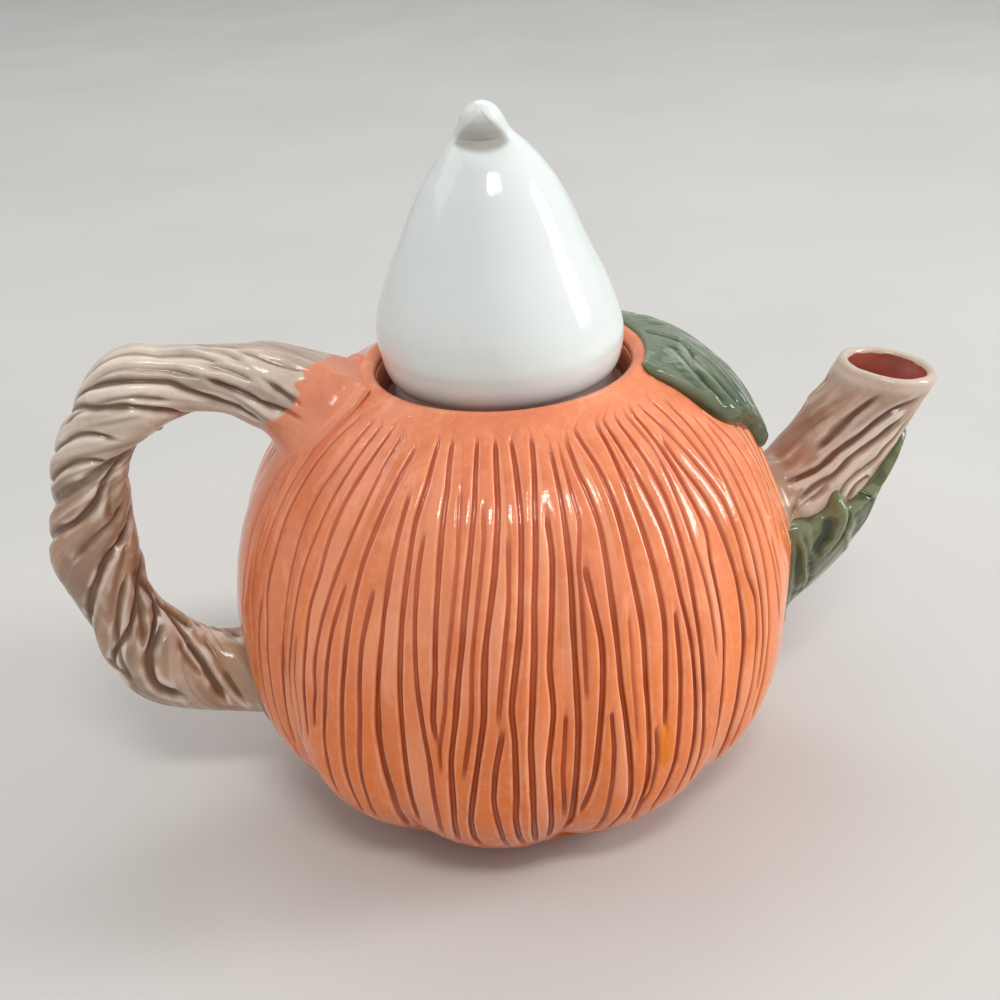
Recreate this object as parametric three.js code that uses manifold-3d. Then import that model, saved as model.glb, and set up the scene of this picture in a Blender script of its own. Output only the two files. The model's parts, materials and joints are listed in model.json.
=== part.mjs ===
// Pumpkin teapot, glazed ceramic. Millimetres, +Z up, standing on z = 0.
// Body axis at x = 0, y = 0; the spout points to +X and the handle to -X.
import * as THREE from "three";
import { mergeVertices } from "three/addons/utils/BufferGeometryUtils.js";
import Module from "manifold-3d";

const wasm = await Module();
wasm.setup();

// ---- driving dimensions ------------------------------------------------
const GAP = 0.3; // between luted or resting pieces

// body: two half superellipses that meet at the belly, cut flat at the foot
const BELLY_R = 75;
const BELLY_Z = 57;
const LOWER_C = 62;
const LOWER_N = 2.45;
const UPPER_C = 71.5;
const UPPER_N = 2.22;
const WALL = 5.3;
const FLOOR_Z = 6.5; // inside of the bottom
const RECESS_Z = 2.2; // hollow under the foot
const FOOT_IN_R = 26;
const FOOT_R = 33; // flat foot reaches from FOOT_IN_R to here in every direction
const BODY_SEGMENTS = 60;
// valleys between the pumpkin lobes, degrees about +Z
const VALLEYS = [-186, -150, -125, -90, -53, -16, 20, 57, 97, 135];
const LOBE_MID = 0.03; // depth of a valley as a share of the radius, at the belly
const LOBE_LOW = 0.046; // and added to it at the foot

// mouth and lid share one axis, which leans a little from the body's
const LID_X = 1.6;
const MOUTH_R = 34;
const MOUTH_Z = 122.4;

// gallery ring luted inside the mouth; the lid rests on its ledge
const GALLERY_R = 33.5;
const GALLERY_HOLE_R = 27;
const LEDGE_Z = 112;
const GALLERY_LOW_Z = 107.5;
const GALLERY_TOP_Z = 119.5;
const GALLERY_WALL = 1.9;

// lid
const COLLAR_R = 25.6;
const COLLAR_IN_R = 21.8;
const COLLAR_LOW_Z = 101.5;
const LID_SEAT_Z = LEDGE_Z + GAP;

// spout
const SPOUT_BORE = 9.8;
const STRAINER_HOLE_D = 4.4;
const STRAINER_PITCH = 6.4;
const STRAINER_Z = 66;

// ---- helpers -----------------------------------------------------------
const rad = (d) => (d * Math.PI) / 180;
const mix = (a, b, t) => a + (b - a) * t;
const smooth = (a, b, x) => {
  const t = Math.min(1, Math.max(0, (x - a) / (b - a)));
  return t * t * (3 - 2 * t);
};

function geometryFrom(positions, index) {
  const g = new THREE.BufferGeometry();
  g.setAttribute("position", new THREE.Float32BufferAttribute(positions, 3));
  g.setIndex(index);
  return g;
}

// Closed surface through rings of equal length. With loop the last ring joins the first,
// otherwise both ends are closed by a fan to a centre point.
function ringSurface(rings, { loop = false, capA = null, capB = null } = {}) {
  const n = rings[0].length,
    m = rings.length;
  const pos = [],
    index = [];
  rings.forEach((ring) => ring.forEach((p) => pos.push(...p)));
  const quad = (a, b) => {
    for (let i = 0; i < n; i++) {
      const j = (i + 1) % n;
      index.push(a * n + i, a * n + j, b * n + j);
      index.push(a * n + i, b * n + j, b * n + i);
    }
  };
  for (let k = 0; k + 1 < m; k++) quad(k, k + 1);
  if (loop) quad(m - 1, 0);
  else {
    const centre = (ring) => {
      const c = [0, 0, 0];
      ring.forEach((p) => p.forEach((v, i) => (c[i] += v / n)));
      return c;
    };
    const a = pos.length / 3;
    pos.push(...(capA ?? centre(rings[0])));
    const b = pos.length / 3;
    pos.push(...(capB ?? centre(rings[m - 1])));
    for (let i = 0; i < n; i++) {
      const j = (i + 1) % n;
      index.push(a, j, i);
      index.push(b, (m - 1) * n + i, (m - 1) * n + j);
    }
  }
  // signed volume decides which way the faces point
  let v6 = 0;
  for (let t = 0; t < index.length; t += 3) {
    const [p, q, r] = [index[t], index[t + 1], index[t + 2]].map((i) => [
      pos[3 * i],
      pos[3 * i + 1],
      pos[3 * i + 2],
    ]);
    v6 +=
      p[0] * (q[1] * r[2] - q[2] * r[1]) -
      p[1] * (q[0] * r[2] - q[2] * r[0]) +
      p[2] * (q[0] * r[1] - q[1] * r[0]);
  }
  if (v6 < 0)
    for (let t = 0; t < index.length; t += 3)
      [index[t + 1], index[t + 2]] = [index[t + 2], index[t + 1]];
  return geometryFrom(pos, index);
}

function solid(geometry) {
  const g = geometry.clone();
  g.deleteAttribute("normal");
  g.deleteAttribute("uv");
  const merged = mergeVertices(g, 1e-4);
  return new wasm.Manifold(
    new wasm.Mesh({
      numProp: 3,
      vertProperties: new Float32Array(merged.attributes.position.array),
      triVerts: new Uint32Array(merged.index.array),
    }),
  );
}

function geometryOf(manifold) {
  const m = manifold.getMesh();
  const p = [];
  for (let i = 0; i < m.numVert; i++)
    p.push(
      m.vertProperties[i * m.numProp],
      m.vertProperties[i * m.numProp + 1],
      m.vertProperties[i * m.numProp + 2],
    );
  return geometryFrom(p, Array.from(m.triVerts));
}

// The largest separate piece of a solid, when a cut leaves slivers behind.
function largest(manifold) {
  return manifold
    .decompose()
    .sort((a, b) => b.volume() - a.volume())[0];
}

function ringOfRevolution(r, z, segments, cx = 0) {
  const ring = [];
  for (let i = 0; i < segments; i++) {
    const a = (2 * Math.PI * i) / segments;
    ring.push([cx + r * Math.cos(a), r * Math.sin(a), z]);
  }
  return ring;
}

// ---- body shape --------------------------------------------------------
function profileR(z) {
  const up = z >= BELLY_Z;
  const c = up ? UPPER_C : LOWER_C,
    n = up ? UPPER_N : LOWER_N;
  const t = Math.min(1, Math.abs(z - BELLY_Z) / c);
  return BELLY_R * Math.pow(Math.max(0, 1 - Math.pow(t, n)), 1 / n);
}

function axisX(z) {
  return LID_X * smooth(70, 120, z);
}

// 1 in a valley between two lobes, 0 on the crown of a lobe
function valley(theta) {
  let d = (theta * 180) / Math.PI;
  while (d < VALLEYS[0]) d += 360;
  while (d >= VALLEYS[0] + 360) d -= 360;
  for (let k = 0; k < VALLEYS.length; k++) {
    const a = VALLEYS[k],
      b = k + 1 < VALLEYS.length ? VALLEYS[k + 1] : VALLEYS[0] + 360;
    if (d >= a && d < b)
      return Math.pow(1 - Math.sin((Math.PI * (d - a)) / (b - a)), 1.4);
  }
  return 0;
}

function lobeDepth(z) {
  if (z < BELLY_Z) {
    const t = 1 - z / BELLY_Z;
    return LOBE_MID + LOBE_LOW * t * t;
  }
  return LOBE_MID * (1 - smooth(80, 119, z));
}

// the lobes are not all alike: share of the radius added around an azimuth and height
const SWELLS = [
  // azimuth, half width, height, half height, share
  [-143, 24, 24, 22, 0.016],
  [-106, 15, 6, 16, 0.014],
  [-2, 22, 46, 20, -0.01],
];
function swell(theta, z) {
  let sum = 0;
  for (const [az, dAz, h, dH, share] of SWELLS) {
    let d = (theta * 180) / Math.PI - az;
    d -= 360 * Math.round(d / 360);
    sum += share * Math.exp(-((d / dAz) ** 2) - ((z - h) / dH) ** 2);
  }
  return sum;
}

// out moves the point along the profile's normal
function bodyPoint(theta, z, out = 0) {
  let r = profileR(z) * (1 - lobeDepth(z) * valley(theta)) * (1 + swell(theta, z));
  let h = z;
  if (out) {
    const slope = (profileR(z + 0.2) - profileR(z - 0.2)) / 0.4;
    const lean = Math.sqrt(1 + slope * slope);
    r += out / lean;
    h -= (out * slope) / lean;
  }
  return [axisX(z) + r * Math.cos(theta), r * Math.sin(theta), h];
}

function bodyRing(z, out = 0) {
  const ring = [];
  for (let i = 0; i < BODY_SEGMENTS; i++)
    ring.push(bodyPoint((2 * Math.PI * i) / BODY_SEGMENTS, z, out));
  return ring;
}

// heights of the outer rings, from the foot to the mouth
const outerZ = [];
{
  const sinAt = (z, c, n) =>
    Math.asin(Math.pow(Math.abs(z - BELLY_Z) / c, n / 2));
  const a0 = sinAt(0.9, LOWER_C, LOWER_N);
  const lowRows = 9;
  for (let k = 0; k < lowRows; k++) {
    const t = a0 * (1 - k / lowRows);
    outerZ.push(BELLY_Z - LOWER_C * Math.pow(Math.sin(t), 2 / LOWER_N));
  }
  const a1 = sinAt(MOUTH_Z - 0.7, UPPER_C, UPPER_N);
  const highRows = 11;
  for (let k = 0; k <= highRows; k++) {
    const t = a1 * (k / highRows);
    outerZ.push(BELLY_Z + UPPER_C * Math.pow(Math.sin(t), 2 / UPPER_N));
  }
}

// the body's outside as one solid, grown by out: what a luted piece is cut back by
function bodyBlank(out) {
  const rings = outerZ.map((z) => bodyRing(z, out));
  const low = bodyRing(outerZ[0], out).map((p) => [p[0], p[1], -0.5]);
  const rim = ringOfRevolution(MOUTH_R + 1, MOUTH_Z + out, BODY_SEGMENTS, LID_X);
  return solid(ringSurface([low, ...rings, rim]));
}

function potBody() {
  const rings = [];
  rings.push(ringOfRevolution(FOOT_IN_R - 4, RECESS_Z, BODY_SEGMENTS));
  rings.push(ringOfRevolution(FOOT_IN_R - 1, 0.7, BODY_SEGMENTS));
  rings.push(ringOfRevolution(FOOT_IN_R, 0, BODY_SEGMENTS));
  rings.push(ringOfRevolution(FOOT_R, 0, BODY_SEGMENTS));
  outerZ.forEach((z) => rings.push(bodyRing(z)));
  // rounded lip and the wall of the mouth
  rings.push(ringOfRevolution(MOUTH_R + 0.7, MOUTH_Z, BODY_SEGMENTS, LID_X));
  rings.push(ringOfRevolution(MOUTH_R, MOUTH_Z - 0.9, BODY_SEGMENTS, LID_X));
  rings.push(ringOfRevolution(MOUTH_R - 0.2, 117.2, BODY_SEGMENTS, LID_X));
  // the inside follows the valleys of the outside, offset along the normal by the wall
  const offset = [];
  const INNER_ROWS = 90;
  for (let k = 0; k <= INNER_ROWS; k++) {
    const z = mix(1.2, MOUTH_Z - 0.4, k / INNER_ROWS);
    const env = (h) => profileR(h) * (1 - lobeDepth(h));
    const slope = (env(z + 0.4) - env(z - 0.4)) / 0.8;
    const lean = Math.sqrt(1 + slope * slope);
    offset.push([env(z) - WALL / lean, z + (WALL * slope) / lean]);
  }
  const innerR = (z) => {
    for (let k = 0; k < INNER_ROWS; k++) {
      const [r0, z0] = offset[k],
        [r1, z1] = offset[k + 1];
      if (z0 <= z && z <= z1) return mix(r0, r1, (z - z0) / (z1 - z0 || 1));
    }
    return offset[INNER_ROWS][0];
  };
  const INNER_TOP = 116.6;
  const rows = 12;
  for (let k = 0; k <= rows; k++) {
    const z = mix(FLOOR_Z, INNER_TOP, (1 + Math.cos((Math.PI * k) / rows)) / 2);
    let r = innerR(z);
    if (k === 0) r = MOUTH_R + 0.2;
    if (k === rows) r = innerR(FLOOR_Z + 1.5) - 4;
    rings.push(ringOfRevolution(r, z, BODY_SEGMENTS, axisX(z)));
  }
  let body = solid(
    ringSurface(rings, {
      capA: [0, 0, RECESS_Z],
      capB: [0, 0, FLOOR_Z],
    }),
  );
  // strainer holes pierced through the wall behind the spout
  const spots = [[0, 0]];
  for (let k = 0; k < 6; k++)
    spots.push([
      STRAINER_PITCH * Math.cos(rad(30 + 60 * k)),
      STRAINER_PITCH * Math.sin(rad(30 + 60 * k)),
    ]);
  for (const [y, dz] of spots) {
    const bit = new THREE.CylinderGeometry(
      STRAINER_HOLE_D / 2,
      STRAINER_HOLE_D / 2,
      30,
      12,
    );
    bit.rotateZ(Math.PI / 2);
    bit.translate(72, y, STRAINER_Z + dz);
    body = body.subtract(solid(bit));
  }
  return body;
}

// ---- swept vines: handle and spout --------------------------------------
// centre line in the plane y = 0: x, z, radius, and how far the strands lean from the vine's
// own direction, degrees
const HANDLE_LINE = [
  [-34, 109.0, 11.5, 18],
  [-43, 115.0, 12.2, 18],
  [-51.5, 119.4, 11.8, 20],
  [-59.5, 122.7, 10.6, 20],
  [-66.2, 125.0, 9.2, 18],
  [-73.5, 126.0, 8.9, 16],
  [-81.0, 125.6, 9.3, 18],
  [-88.5, 123.8, 10.2, 26],
  [-95.0, 120.0, 10.6, 40],
  [-100.3, 114.2, 9.9, 52],
  [-103.6, 106.6, 9.6, 54],
  [-105.4, 98.6, 10.0, 50],
  [-107.0, 90.8, 10.9, 46],
  [-107.8, 83.5, 11.6, 44],
  [-106.8, 76.6, 11.1, 42],
  [-105.6, 69.4, 10.5, 38],
  [-103.9, 62.0, 10.6, 36],
  [-101.0, 54.0, 12.2, 38],
  [-95.8, 47.0, 12.9, 46],
  [-88.4, 42.6, 12.1, 52],
  [-80.4, 40.4, 11.9, 54],
  [-72.4, 39.2, 12.6, 54],
  [-62.0, 38.0, 13.5, 54],
];
const SPOUT_LINE = [
  [56.0, 50.0, 19.5, 18],
  [66.0, 57.3, 18.2, 18],
  [75.7, 64.2, 16.4, 20],
  [83.3, 71.9, 14.9, 20],
  [89.5, 80.2, 14.1, 20],
  [95.1, 88.6, 13.9, 18],
  [100.8, 97.0, 13.8, 14],
  [105.9, 104.1, 13.7, 8],
];
const SPOUT_TIP_TILT = rad(17); // the mouth's plane leans this much from level

function spline(points) {
  const curve = new THREE.CatmullRomCurve3(
    points.map(([x, z]) => new THREE.Vector3(x, 0, z)),
    false,
    "centripetal",
  );
  const radii = points.map((p) => p[2]);
  // turn of the strands about the vine, added up along it
  const turns = [0];
  const STEPS = 200;
  for (let k = 0; k < STEPS; k++) {
    const a = curve.getPoint(k / STEPS),
      b = curve.getPoint((k + 1) / STEPS);
    const s = ((k + 0.5) / STEPS) * (points.length - 1);
    const i = Math.floor(s);
    const lean = mix(points[i][3] ?? 0, points[i + 1][3] ?? 0, s - i);
    const r = mix(radii[i], radii[i + 1], s - i);
    turns.push(turns[k] + (a.distanceTo(b) * Math.tan(rad(lean))) / r);
  }
  const turnAt = (t) => {
    const s = t * STEPS,
      i = Math.min(STEPS - 1, Math.floor(s));
    return mix(turns[i], turns[i + 1], s - i);
  };
  return {
    at(t) {
      const p = curve.getPoint(t),
        d = curve.getTangent(t);
      const s = t * (radii.length - 1);
      const i = Math.min(radii.length - 2, Math.floor(s));
      const f = s - i;
      const r0 = radii[Math.max(0, i - 1)],
        r1 = radii[i],
        r2 = radii[i + 1],
        r3 = radii[Math.min(radii.length - 1, i + 2)];
      const r =
        0.5 *
        (2 * r1 +
          (r2 - r0) * f +
          (2 * r0 - 5 * r1 + 4 * r2 - r3) * f * f +
          (3 * r1 - r0 - 3 * r2 + r3) * f * f * f);
      return { x: p.x, z: p.z, dx: d.x, dz: d.z, r, turn: turnAt(t) };
    },
  };
}

// Ring of a vine: phi = 0 is the side away from the pot (left of the heading), 90 degrees the
// side toward -Y. ridges lobes of depth share turn by twist along the vine.
function vineRing(s, count, { ridges = 0, depth = 0, twist = 0, scale = 1, grow = 0, nx, nz } = {}) {
  // in-plane normal of the ring, to the left of the heading
  const ux = nx ?? -s.dz,
    uz = nz ?? s.dx;
  const ring = [];
  for (let i = 0; i < count; i++) {
    const phi = (2 * Math.PI * i) / count;
    const lobe = ridges
      ? 1 - depth * Math.pow(1 - Math.abs(Math.sin((ridges * (phi - twist)) / 2)), 1.3)
      : 1;
    const r = s.r * scale * lobe + grow;
    ring.push([
      s.x + r * Math.cos(phi) * ux,
      -r * Math.sin(phi),
      s.z + r * Math.cos(phi) * uz,
    ]);
  }
  return ring;
}

const STRANDS = 7;
const HANDLE_RINGS = 58;
const HANDLE_SIDES = 28;
function handleBlank(grow = 0) {
  const line = spline(HANDLE_LINE);
  const rings = [];
  for (let k = 0; k <= HANDLE_RINGS; k++) {
    const s = line.at(k / HANDLE_RINGS);
    rings.push(
      vineRing(s, HANDLE_SIDES, {
        ridges: STRANDS,
        depth: 0.1,
        twist: s.turn,
        grow,
      }),
    );
  }
  return solid(ringSurface(rings));
}

const SPOUT_RINGS = 14;
const SPOUT_SIDES = 28;
function spoutRings(kind, grow = 0) {
  const line = spline(SPOUT_LINE);
  const rings = [];
  for (let k = 0; k <= SPOUT_RINGS; k++) {
    const t = k / SPOUT_RINGS;
    const s = line.at(t);
    // rings turn from square across the vine to the slant of the mouth
    const w = smooth(0.6, 1, t);
    const level = [-Math.cos(SPOUT_TIP_TILT), Math.sin(SPOUT_TIP_TILT)];
    let nx = mix(-s.dz, level[0], w),
      nz = mix(s.dx, level[1], w);
    const len = Math.hypot(nx, nz);
    nx /= len;
    nz /= len;
    if (kind === "outer")
      rings.push(
        vineRing(s, SPOUT_SIDES, {
          ridges: STRANDS,
          depth: 0.08 * (1 - w * 0.7),
          twist: s.turn,
          nx,
          nz,
          grow,
        }),
      );
    else {
      const bore = { ...s, r: mix(12.6, SPOUT_BORE, smooth(0.1, 0.7, t)) };
      rings.push(vineRing(bore, SPOUT_SIDES, { nx, nz }));
    }
  }
  return rings;
}

function spoutTube() {
  const outer = spoutRings("outer"),
    inner = spoutRings("inner");
  // rounded lip: one ring between the outer and the inner edge, a little higher
  const tip = outer[outer.length - 1],
    bore = inner[inner.length - 1];
  const lip = tip.map((p, i) => {
    const q = bore[i];
    return [
      mix(p[0], q[0], 0.5) + 1.6 * Math.sin(SPOUT_TIP_TILT),
      mix(p[1], q[1], 0.5),
      mix(p[2], q[2], 0.5) + 1.6 * Math.cos(SPOUT_TIP_TILT),
    ];
  });
  return solid(
    ringSurface([...outer, lip, ...inner.slice().reverse()], { loop: true }),
  );
}

function spoutBlank(grow) {
  return solid(ringSurface(spoutRings("outer", grow)));
}

// ---- leaves -------------------------------------------------------------
// Shoulder leaf, in rows from its stem end at the mouth to its tip over the spout's root:
// height, azimuth of the front edge, the midrib and the back edge (degrees), rise above the body
const SHOULDER_LEAF = [
  [122.0, -28, 14, 42, 2.2],
  [120.6, -31.2, 12, 46, 3.1],
  [118.4, -31, 8, 48, 4.1],
  [115.2, -30.2, 3, 46, 4.8],
  [111.6, -29.7, -2, 40, 4.9],
  [107.6, -26.8, -6, 31, 4.7],
  [103.2, -19, -8, 20, 4.1],
  [98.8, -12.8, -8, 10, 3.5],
  [94.8, -12.2, -7.5, 1, 3.1],
  [92.2, -10, -7, -4, 2.2],
];
const LEAF_EDGE = 2.4; // thickness at the leaf's edge
function leafPoint(row, t, grow = 0) {
  const [z, front, mid, back, rise] = row;
  const th = rad(t < 0 ? mix(mid, front, -t) : mix(mid, back, t));
  // the leaf's edge is thick and round, its blade lies in two shallow halves
  const edge = Math.pow(Math.abs(t), 5);
  const h = mix(rise, LEAF_EDGE * 0.45, edge) - 0.9 * Math.exp(-Math.pow(t / 0.12, 2));
  const b = bodyPoint(th, z);
  const e1 = bodyPoint(th + 0.02, z),
    e2 = bodyPoint(th, z - 0.4);
  const u = new THREE.Vector3(e1[0] - b[0], e1[1] - b[1], e1[2] - b[2]);
  const v = new THREE.Vector3(e2[0] - b[0], e2[1] - b[1], e2[2] - b[2]);
  const n = v.cross(u).normalize();
  const d = grow + h;
  return {
    top: [b[0] + n.x * d, b[1] + n.y * d, b[2] + n.z * d],
    low: [b[0] - n.x * 1.2, b[1] - n.y * 1.2, b[2] - n.z * 1.2],
  };
}
function shoulderLeaf() {
  const across = 14;
  const rings = SHOULDER_LEAF.map((row) => {
    const top = [],
      low = [];
    for (let i = 0; i <= across; i++) {
      // rows of points crowd towards the edges
      const t = Math.sin(((-1 + (2 * i) / across) * Math.PI) / 2);
      const p = leafPoint(row, t);
      top.push(p.top);
      low.push(p.low);
    }
    return [...top, ...low.reverse()];
  });
  return solid(ringSurface(rings));
}

// Spout leaf: keel line (x, z) under the spout, half width along Y, thickness
const SPOUT_LEAF = [
  [73.4, 36.0, 6.0, 3.2],
  [80.0, 41.4, 10.5, 4.6],
  [86.6, 47.2, 14.0, 6.4],
  [92.7, 54.3, 16.0, 7.8],
  [97.8, 62.2, 16.4, 7.8],
  [102.1, 70.0, 15.0, 6.6],
  [106.0, 77.2, 11.6, 4.8],
  [109.6, 84.2, 5.6, 2.8],
];
function spoutLeaf() {
  const line = spline(SPOUT_LEAF.map(([x, z, w]) => [x, z, w]));
  const thick = spline(SPOUT_LEAF.map(([x, z, , h]) => [x, z, h]));
  const rings = [];
  const rows = 12,
    across = 10;
  for (let k = 0; k <= rows; k++) {
    const t = k / rows;
    const s = line.at(t),
      h = thick.at(t).r;
    // left of the heading points to the spout
    const ux = -s.dz,
      uz = s.dx;
    const under = [],
      over = [];
    for (let i = 0; i <= across; i++) {
      const a = -1 + (2 * i) / across;
      const y = a * s.r;
      const curl = Math.pow(Math.abs(a), 2) * s.r * 0.75;
      const fat = h * (1 - 0.75 * a * a);
      under.push([s.x + ux * (curl - 3.4), y, s.z + uz * (curl - 3.4)]);
      over.push([s.x + ux * (curl - 3.4 + fat * 1.6), y, s.z + uz * (curl - 3.4 + fat * 1.6)]);
    }
    rings.push([...under, ...over.reverse()]);
  }
  return solid(ringSurface(rings));
}

// ---- lid ----------------------------------------------------------------
// outside of the dome from its seat to the neck of the knob: radius, z, and the centre's
// distance from the mouth's axis, as the dome leans a little to -X
const DOME = [
  [28.6, LID_SEAT_Z, 0],
  [29.3, 114.6, 0],
  [30.0, 119.5, 0],
  [30.7, 125.0, 0],
  [30.9, 130.0, -0.2],
  [29.8, 136.0, -0.7],
  [27.75, 142.0, -0.75],
  [25.15, 148.0, -0.8],
  [22.4, 154.0, -0.7],
  [19.7, 160.0, -0.55],
  [16.6, 166.0, -0.45],
  [13.2, 171.0, -0.4],
  [10.0, 175.0, -0.7],
  [7.9, 177.2, -1.0],
];
function lathe(points, segments) {
  const rings = points.map(([r, z]) => ringOfRevolution(r, z, segments, LID_X));
  return ringSurface(rings, { loop: true });
}

function lidDome() {
  const inner = [
    [3.0, 171.2],
    [7.0, 168.6],
    [11.6, 163.0],
    [15.6, 156.4],
    [19.6, 149.2],
    [23.0, 142.2],
    [25.6, 135.2],
    [26.8, 129.0],
    [26.4, 122.0],
    [25.2, 116.0],
    [24.2, LID_SEAT_Z],
  ];
  // the dome's crown is closed; its inside is open at the seat
  const rings = [...inner, ...DOME].map(([r, z, dx = 0]) =>
    ringOfRevolution(r, z, 40, LID_X + dx),
  );
  return solid(
    ringSurface(rings, {
      capA: [LID_X, 0, 171.6],
      capB: [LID_X - 1, 0, DOME[DOME.length - 1][1]],
    }),
  );
}

function lidCollar() {
  return solid(
    lathe(
      [
        [COLLAR_IN_R, COLLAR_LOW_Z + 1],
        [COLLAR_IN_R + 1, COLLAR_LOW_Z],
        [COLLAR_R - 1.6, COLLAR_LOW_Z],
        [COLLAR_R - 0.4, COLLAR_LOW_Z + 1.2],
        [COLLAR_R, LEDGE_Z - 0.2],
        [COLLAR_R, LEDGE_Z],
        [COLLAR_IN_R, LEDGE_Z],
      ],
      40,
    ),
  );
}

function gallery() {
  return solid(
    lathe(
      [
        [GALLERY_HOLE_R, GALLERY_LOW_Z + 0.8],
        [GALLERY_HOLE_R + 0.8, GALLERY_LOW_Z],
        [GALLERY_R, GALLERY_LOW_Z],
        [GALLERY_R, GALLERY_TOP_Z],
        [GALLERY_R - GALLERY_WALL, GALLERY_TOP_Z],
        [GALLERY_R - GALLERY_WALL, LEDGE_Z + 0.6],
        [GALLERY_R - GALLERY_WALL - 0.6, LEDGE_Z],
        [GALLERY_HOLE_R + 0.4, LEDGE_Z],
        [GALLERY_HOLE_R, LEDGE_Z - 0.6],
      ],
      40,
    ),
  );
}

// knob: a pulled tip that leans toward -Y over the dome's shoulder
const KNOB = [
  // centre x from the mouth's axis, centre y, z, radius along x, radius along y
  [-1.0, 0.0, 177.5, 7.6, 7.6],
  [-1.3, -0.9, 179.4, 6.5, 6.8],
  [-1.5, -2.1, 181.3, 5.7, 6.2],
  [-1.7, -3.2, 183.1, 4.9, 5.3],
  [-1.8, -4.0, 184.9, 3.6, 4.0],
  [-1.8, -4.4, 186.2, 1.6, 1.9],
];
function lidKnob() {
  const rings = KNOB.map(([cx, cy, z, rx, ry]) => {
    const ring = [];
    for (let i = 0; i < 24; i++) {
      const a = (2 * Math.PI * i) / 24;
      ring.push([
        LID_X + cx + rx * Math.cos(a),
        cy + ry * Math.sin(a),
        z - (z > 178 ? 0.9 * Math.max(0, -Math.sin(a)) * (ry / 6) : 0),
      ]);
    }
    return ring;
  });
  return solid(ringSurface(rings, { capB: [LID_X - 1.8, -4.5, 186.45] }));
}

// ---- assembly -----------------------------------------------------------
const materials = {
  pumpkin: { color: 0xc0643f, roughness: 0.2, metalness: 0 },
  inside: { color: 0x8a4f43, roughness: 0.3, metalness: 0 },
  vine: { color: 0xb09a8a, roughness: 0.22, metalness: 0 },
  leaf: { color: 0x5f6a3c, roughness: 0.22, metalness: 0 },
  white: { color: 0xe9ecec, roughness: 0.1, metalness: 0 },
};

const teapot = new THREE.Group();
function add(group, name, manifold, look) {
  const mesh = new THREE.Mesh(
    geometryOf(manifold),
    new THREE.MeshStandardMaterial({ ...materials[look] }),
  );
  mesh.name = name;
  group.add(mesh);
  return mesh;
}

const pot = new THREE.Group();
const lid = new THREE.Group();
teapot.add(pot, lid);

const body = potBody();
const bodyCut = bodyBlank(GAP);
add(pot, "pot_body", body, "pumpkin");
add(pot, "mouth_gallery", gallery(), "inside");
add(pot, "handle", largest(handleBlank().subtract(bodyCut)), "vine");

const spout = largest(spoutTube().subtract(bodyCut));
add(pot, "spout", spout, "vine");
const spoutCut = spoutBlank(GAP);
add(
  pot,
  "spout_leaf",
  largest(spoutLeaf().subtract(bodyCut).subtract(spoutCut)),
  "leaf",
);
add(
  pot,
  "shoulder_leaf",
  largest(shoulderLeaf().subtract(bodyCut).subtract(spoutCut)),
  "leaf",
);

add(lid, "lid_collar", lidCollar(), "white");
add(lid, "lid_dome", lidDome(), "white");
add(lid, "lid_knob", lidKnob(), "white");

export default teapot;
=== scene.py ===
import json
import math
import bpy
import numpy as np
from mathutils import Matrix, Vector


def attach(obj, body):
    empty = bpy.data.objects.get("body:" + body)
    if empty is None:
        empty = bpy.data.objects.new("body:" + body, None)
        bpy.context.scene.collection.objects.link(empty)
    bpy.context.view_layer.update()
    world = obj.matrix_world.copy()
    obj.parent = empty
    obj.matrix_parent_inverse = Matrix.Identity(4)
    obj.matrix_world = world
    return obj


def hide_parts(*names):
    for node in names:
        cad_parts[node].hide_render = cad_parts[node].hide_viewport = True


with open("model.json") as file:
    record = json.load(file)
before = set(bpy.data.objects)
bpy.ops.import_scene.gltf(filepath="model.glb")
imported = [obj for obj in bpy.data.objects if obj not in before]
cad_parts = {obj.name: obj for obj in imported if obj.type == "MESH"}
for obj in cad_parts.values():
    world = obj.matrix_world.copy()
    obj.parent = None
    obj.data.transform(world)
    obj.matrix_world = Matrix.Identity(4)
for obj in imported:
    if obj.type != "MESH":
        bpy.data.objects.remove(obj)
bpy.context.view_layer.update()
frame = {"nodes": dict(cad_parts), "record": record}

nodes = frame["nodes"]
scene = bpy.context.scene

# ---------------------------------------------------------------- shape of the pot (mm)
BELLY_R, BELLY_Z = 75.0, 57.0
LOWER_C, LOWER_N = 62.0, 2.45
UPPER_C, UPPER_N = 71.5, 2.22
VALLEYS = [-186, -150, -125, -90, -53, -16, 20, 57, 97, 135]
SWELLS = [(-143, 24, 24, 22, 0.016), (-106, 15, 6, 16, 0.014), (-2, 22, 46, 20, -0.01), (-15, 12, 70, 11, 0.036)]
LID_X = 1.6
MOUTH_R, MOUTH_Z = 34.0, 122.4


def smooth(a, b, x):
    t = np.clip((np.asarray(x, float) - a) / (b - a), 0, 1)
    return t * t * (3 - 2 * t)


def mix(a, b, t):
    return a + (b - a) * t


def profile_r(z):
    z = np.asarray(z, float)
    up = z >= BELLY_Z
    c, n = np.where(up, UPPER_C, LOWER_C), np.where(up, UPPER_N, LOWER_N)
    t = np.minimum(1, np.abs(z - BELLY_Z) / c)
    return BELLY_R * np.maximum(0, 1 - t**n) ** (1 / n)


def axis_x(z):
    return LID_X * smooth(70, 120, z)


def valley(theta):
    d = (np.degrees(np.asarray(theta, float)) - VALLEYS[0]) % 360 + VALLEYS[0]
    out = np.zeros_like(d)
    for k, a in enumerate(VALLEYS):
        b = VALLEYS[k + 1] if k + 1 < len(VALLEYS) else VALLEYS[0] + 360
        m = (d >= a) & (d < b)
        out = np.where(m, np.maximum(0, 1 - np.sin(np.pi * (d - a) / (b - a))) ** 1.4, out)
    return out


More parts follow.
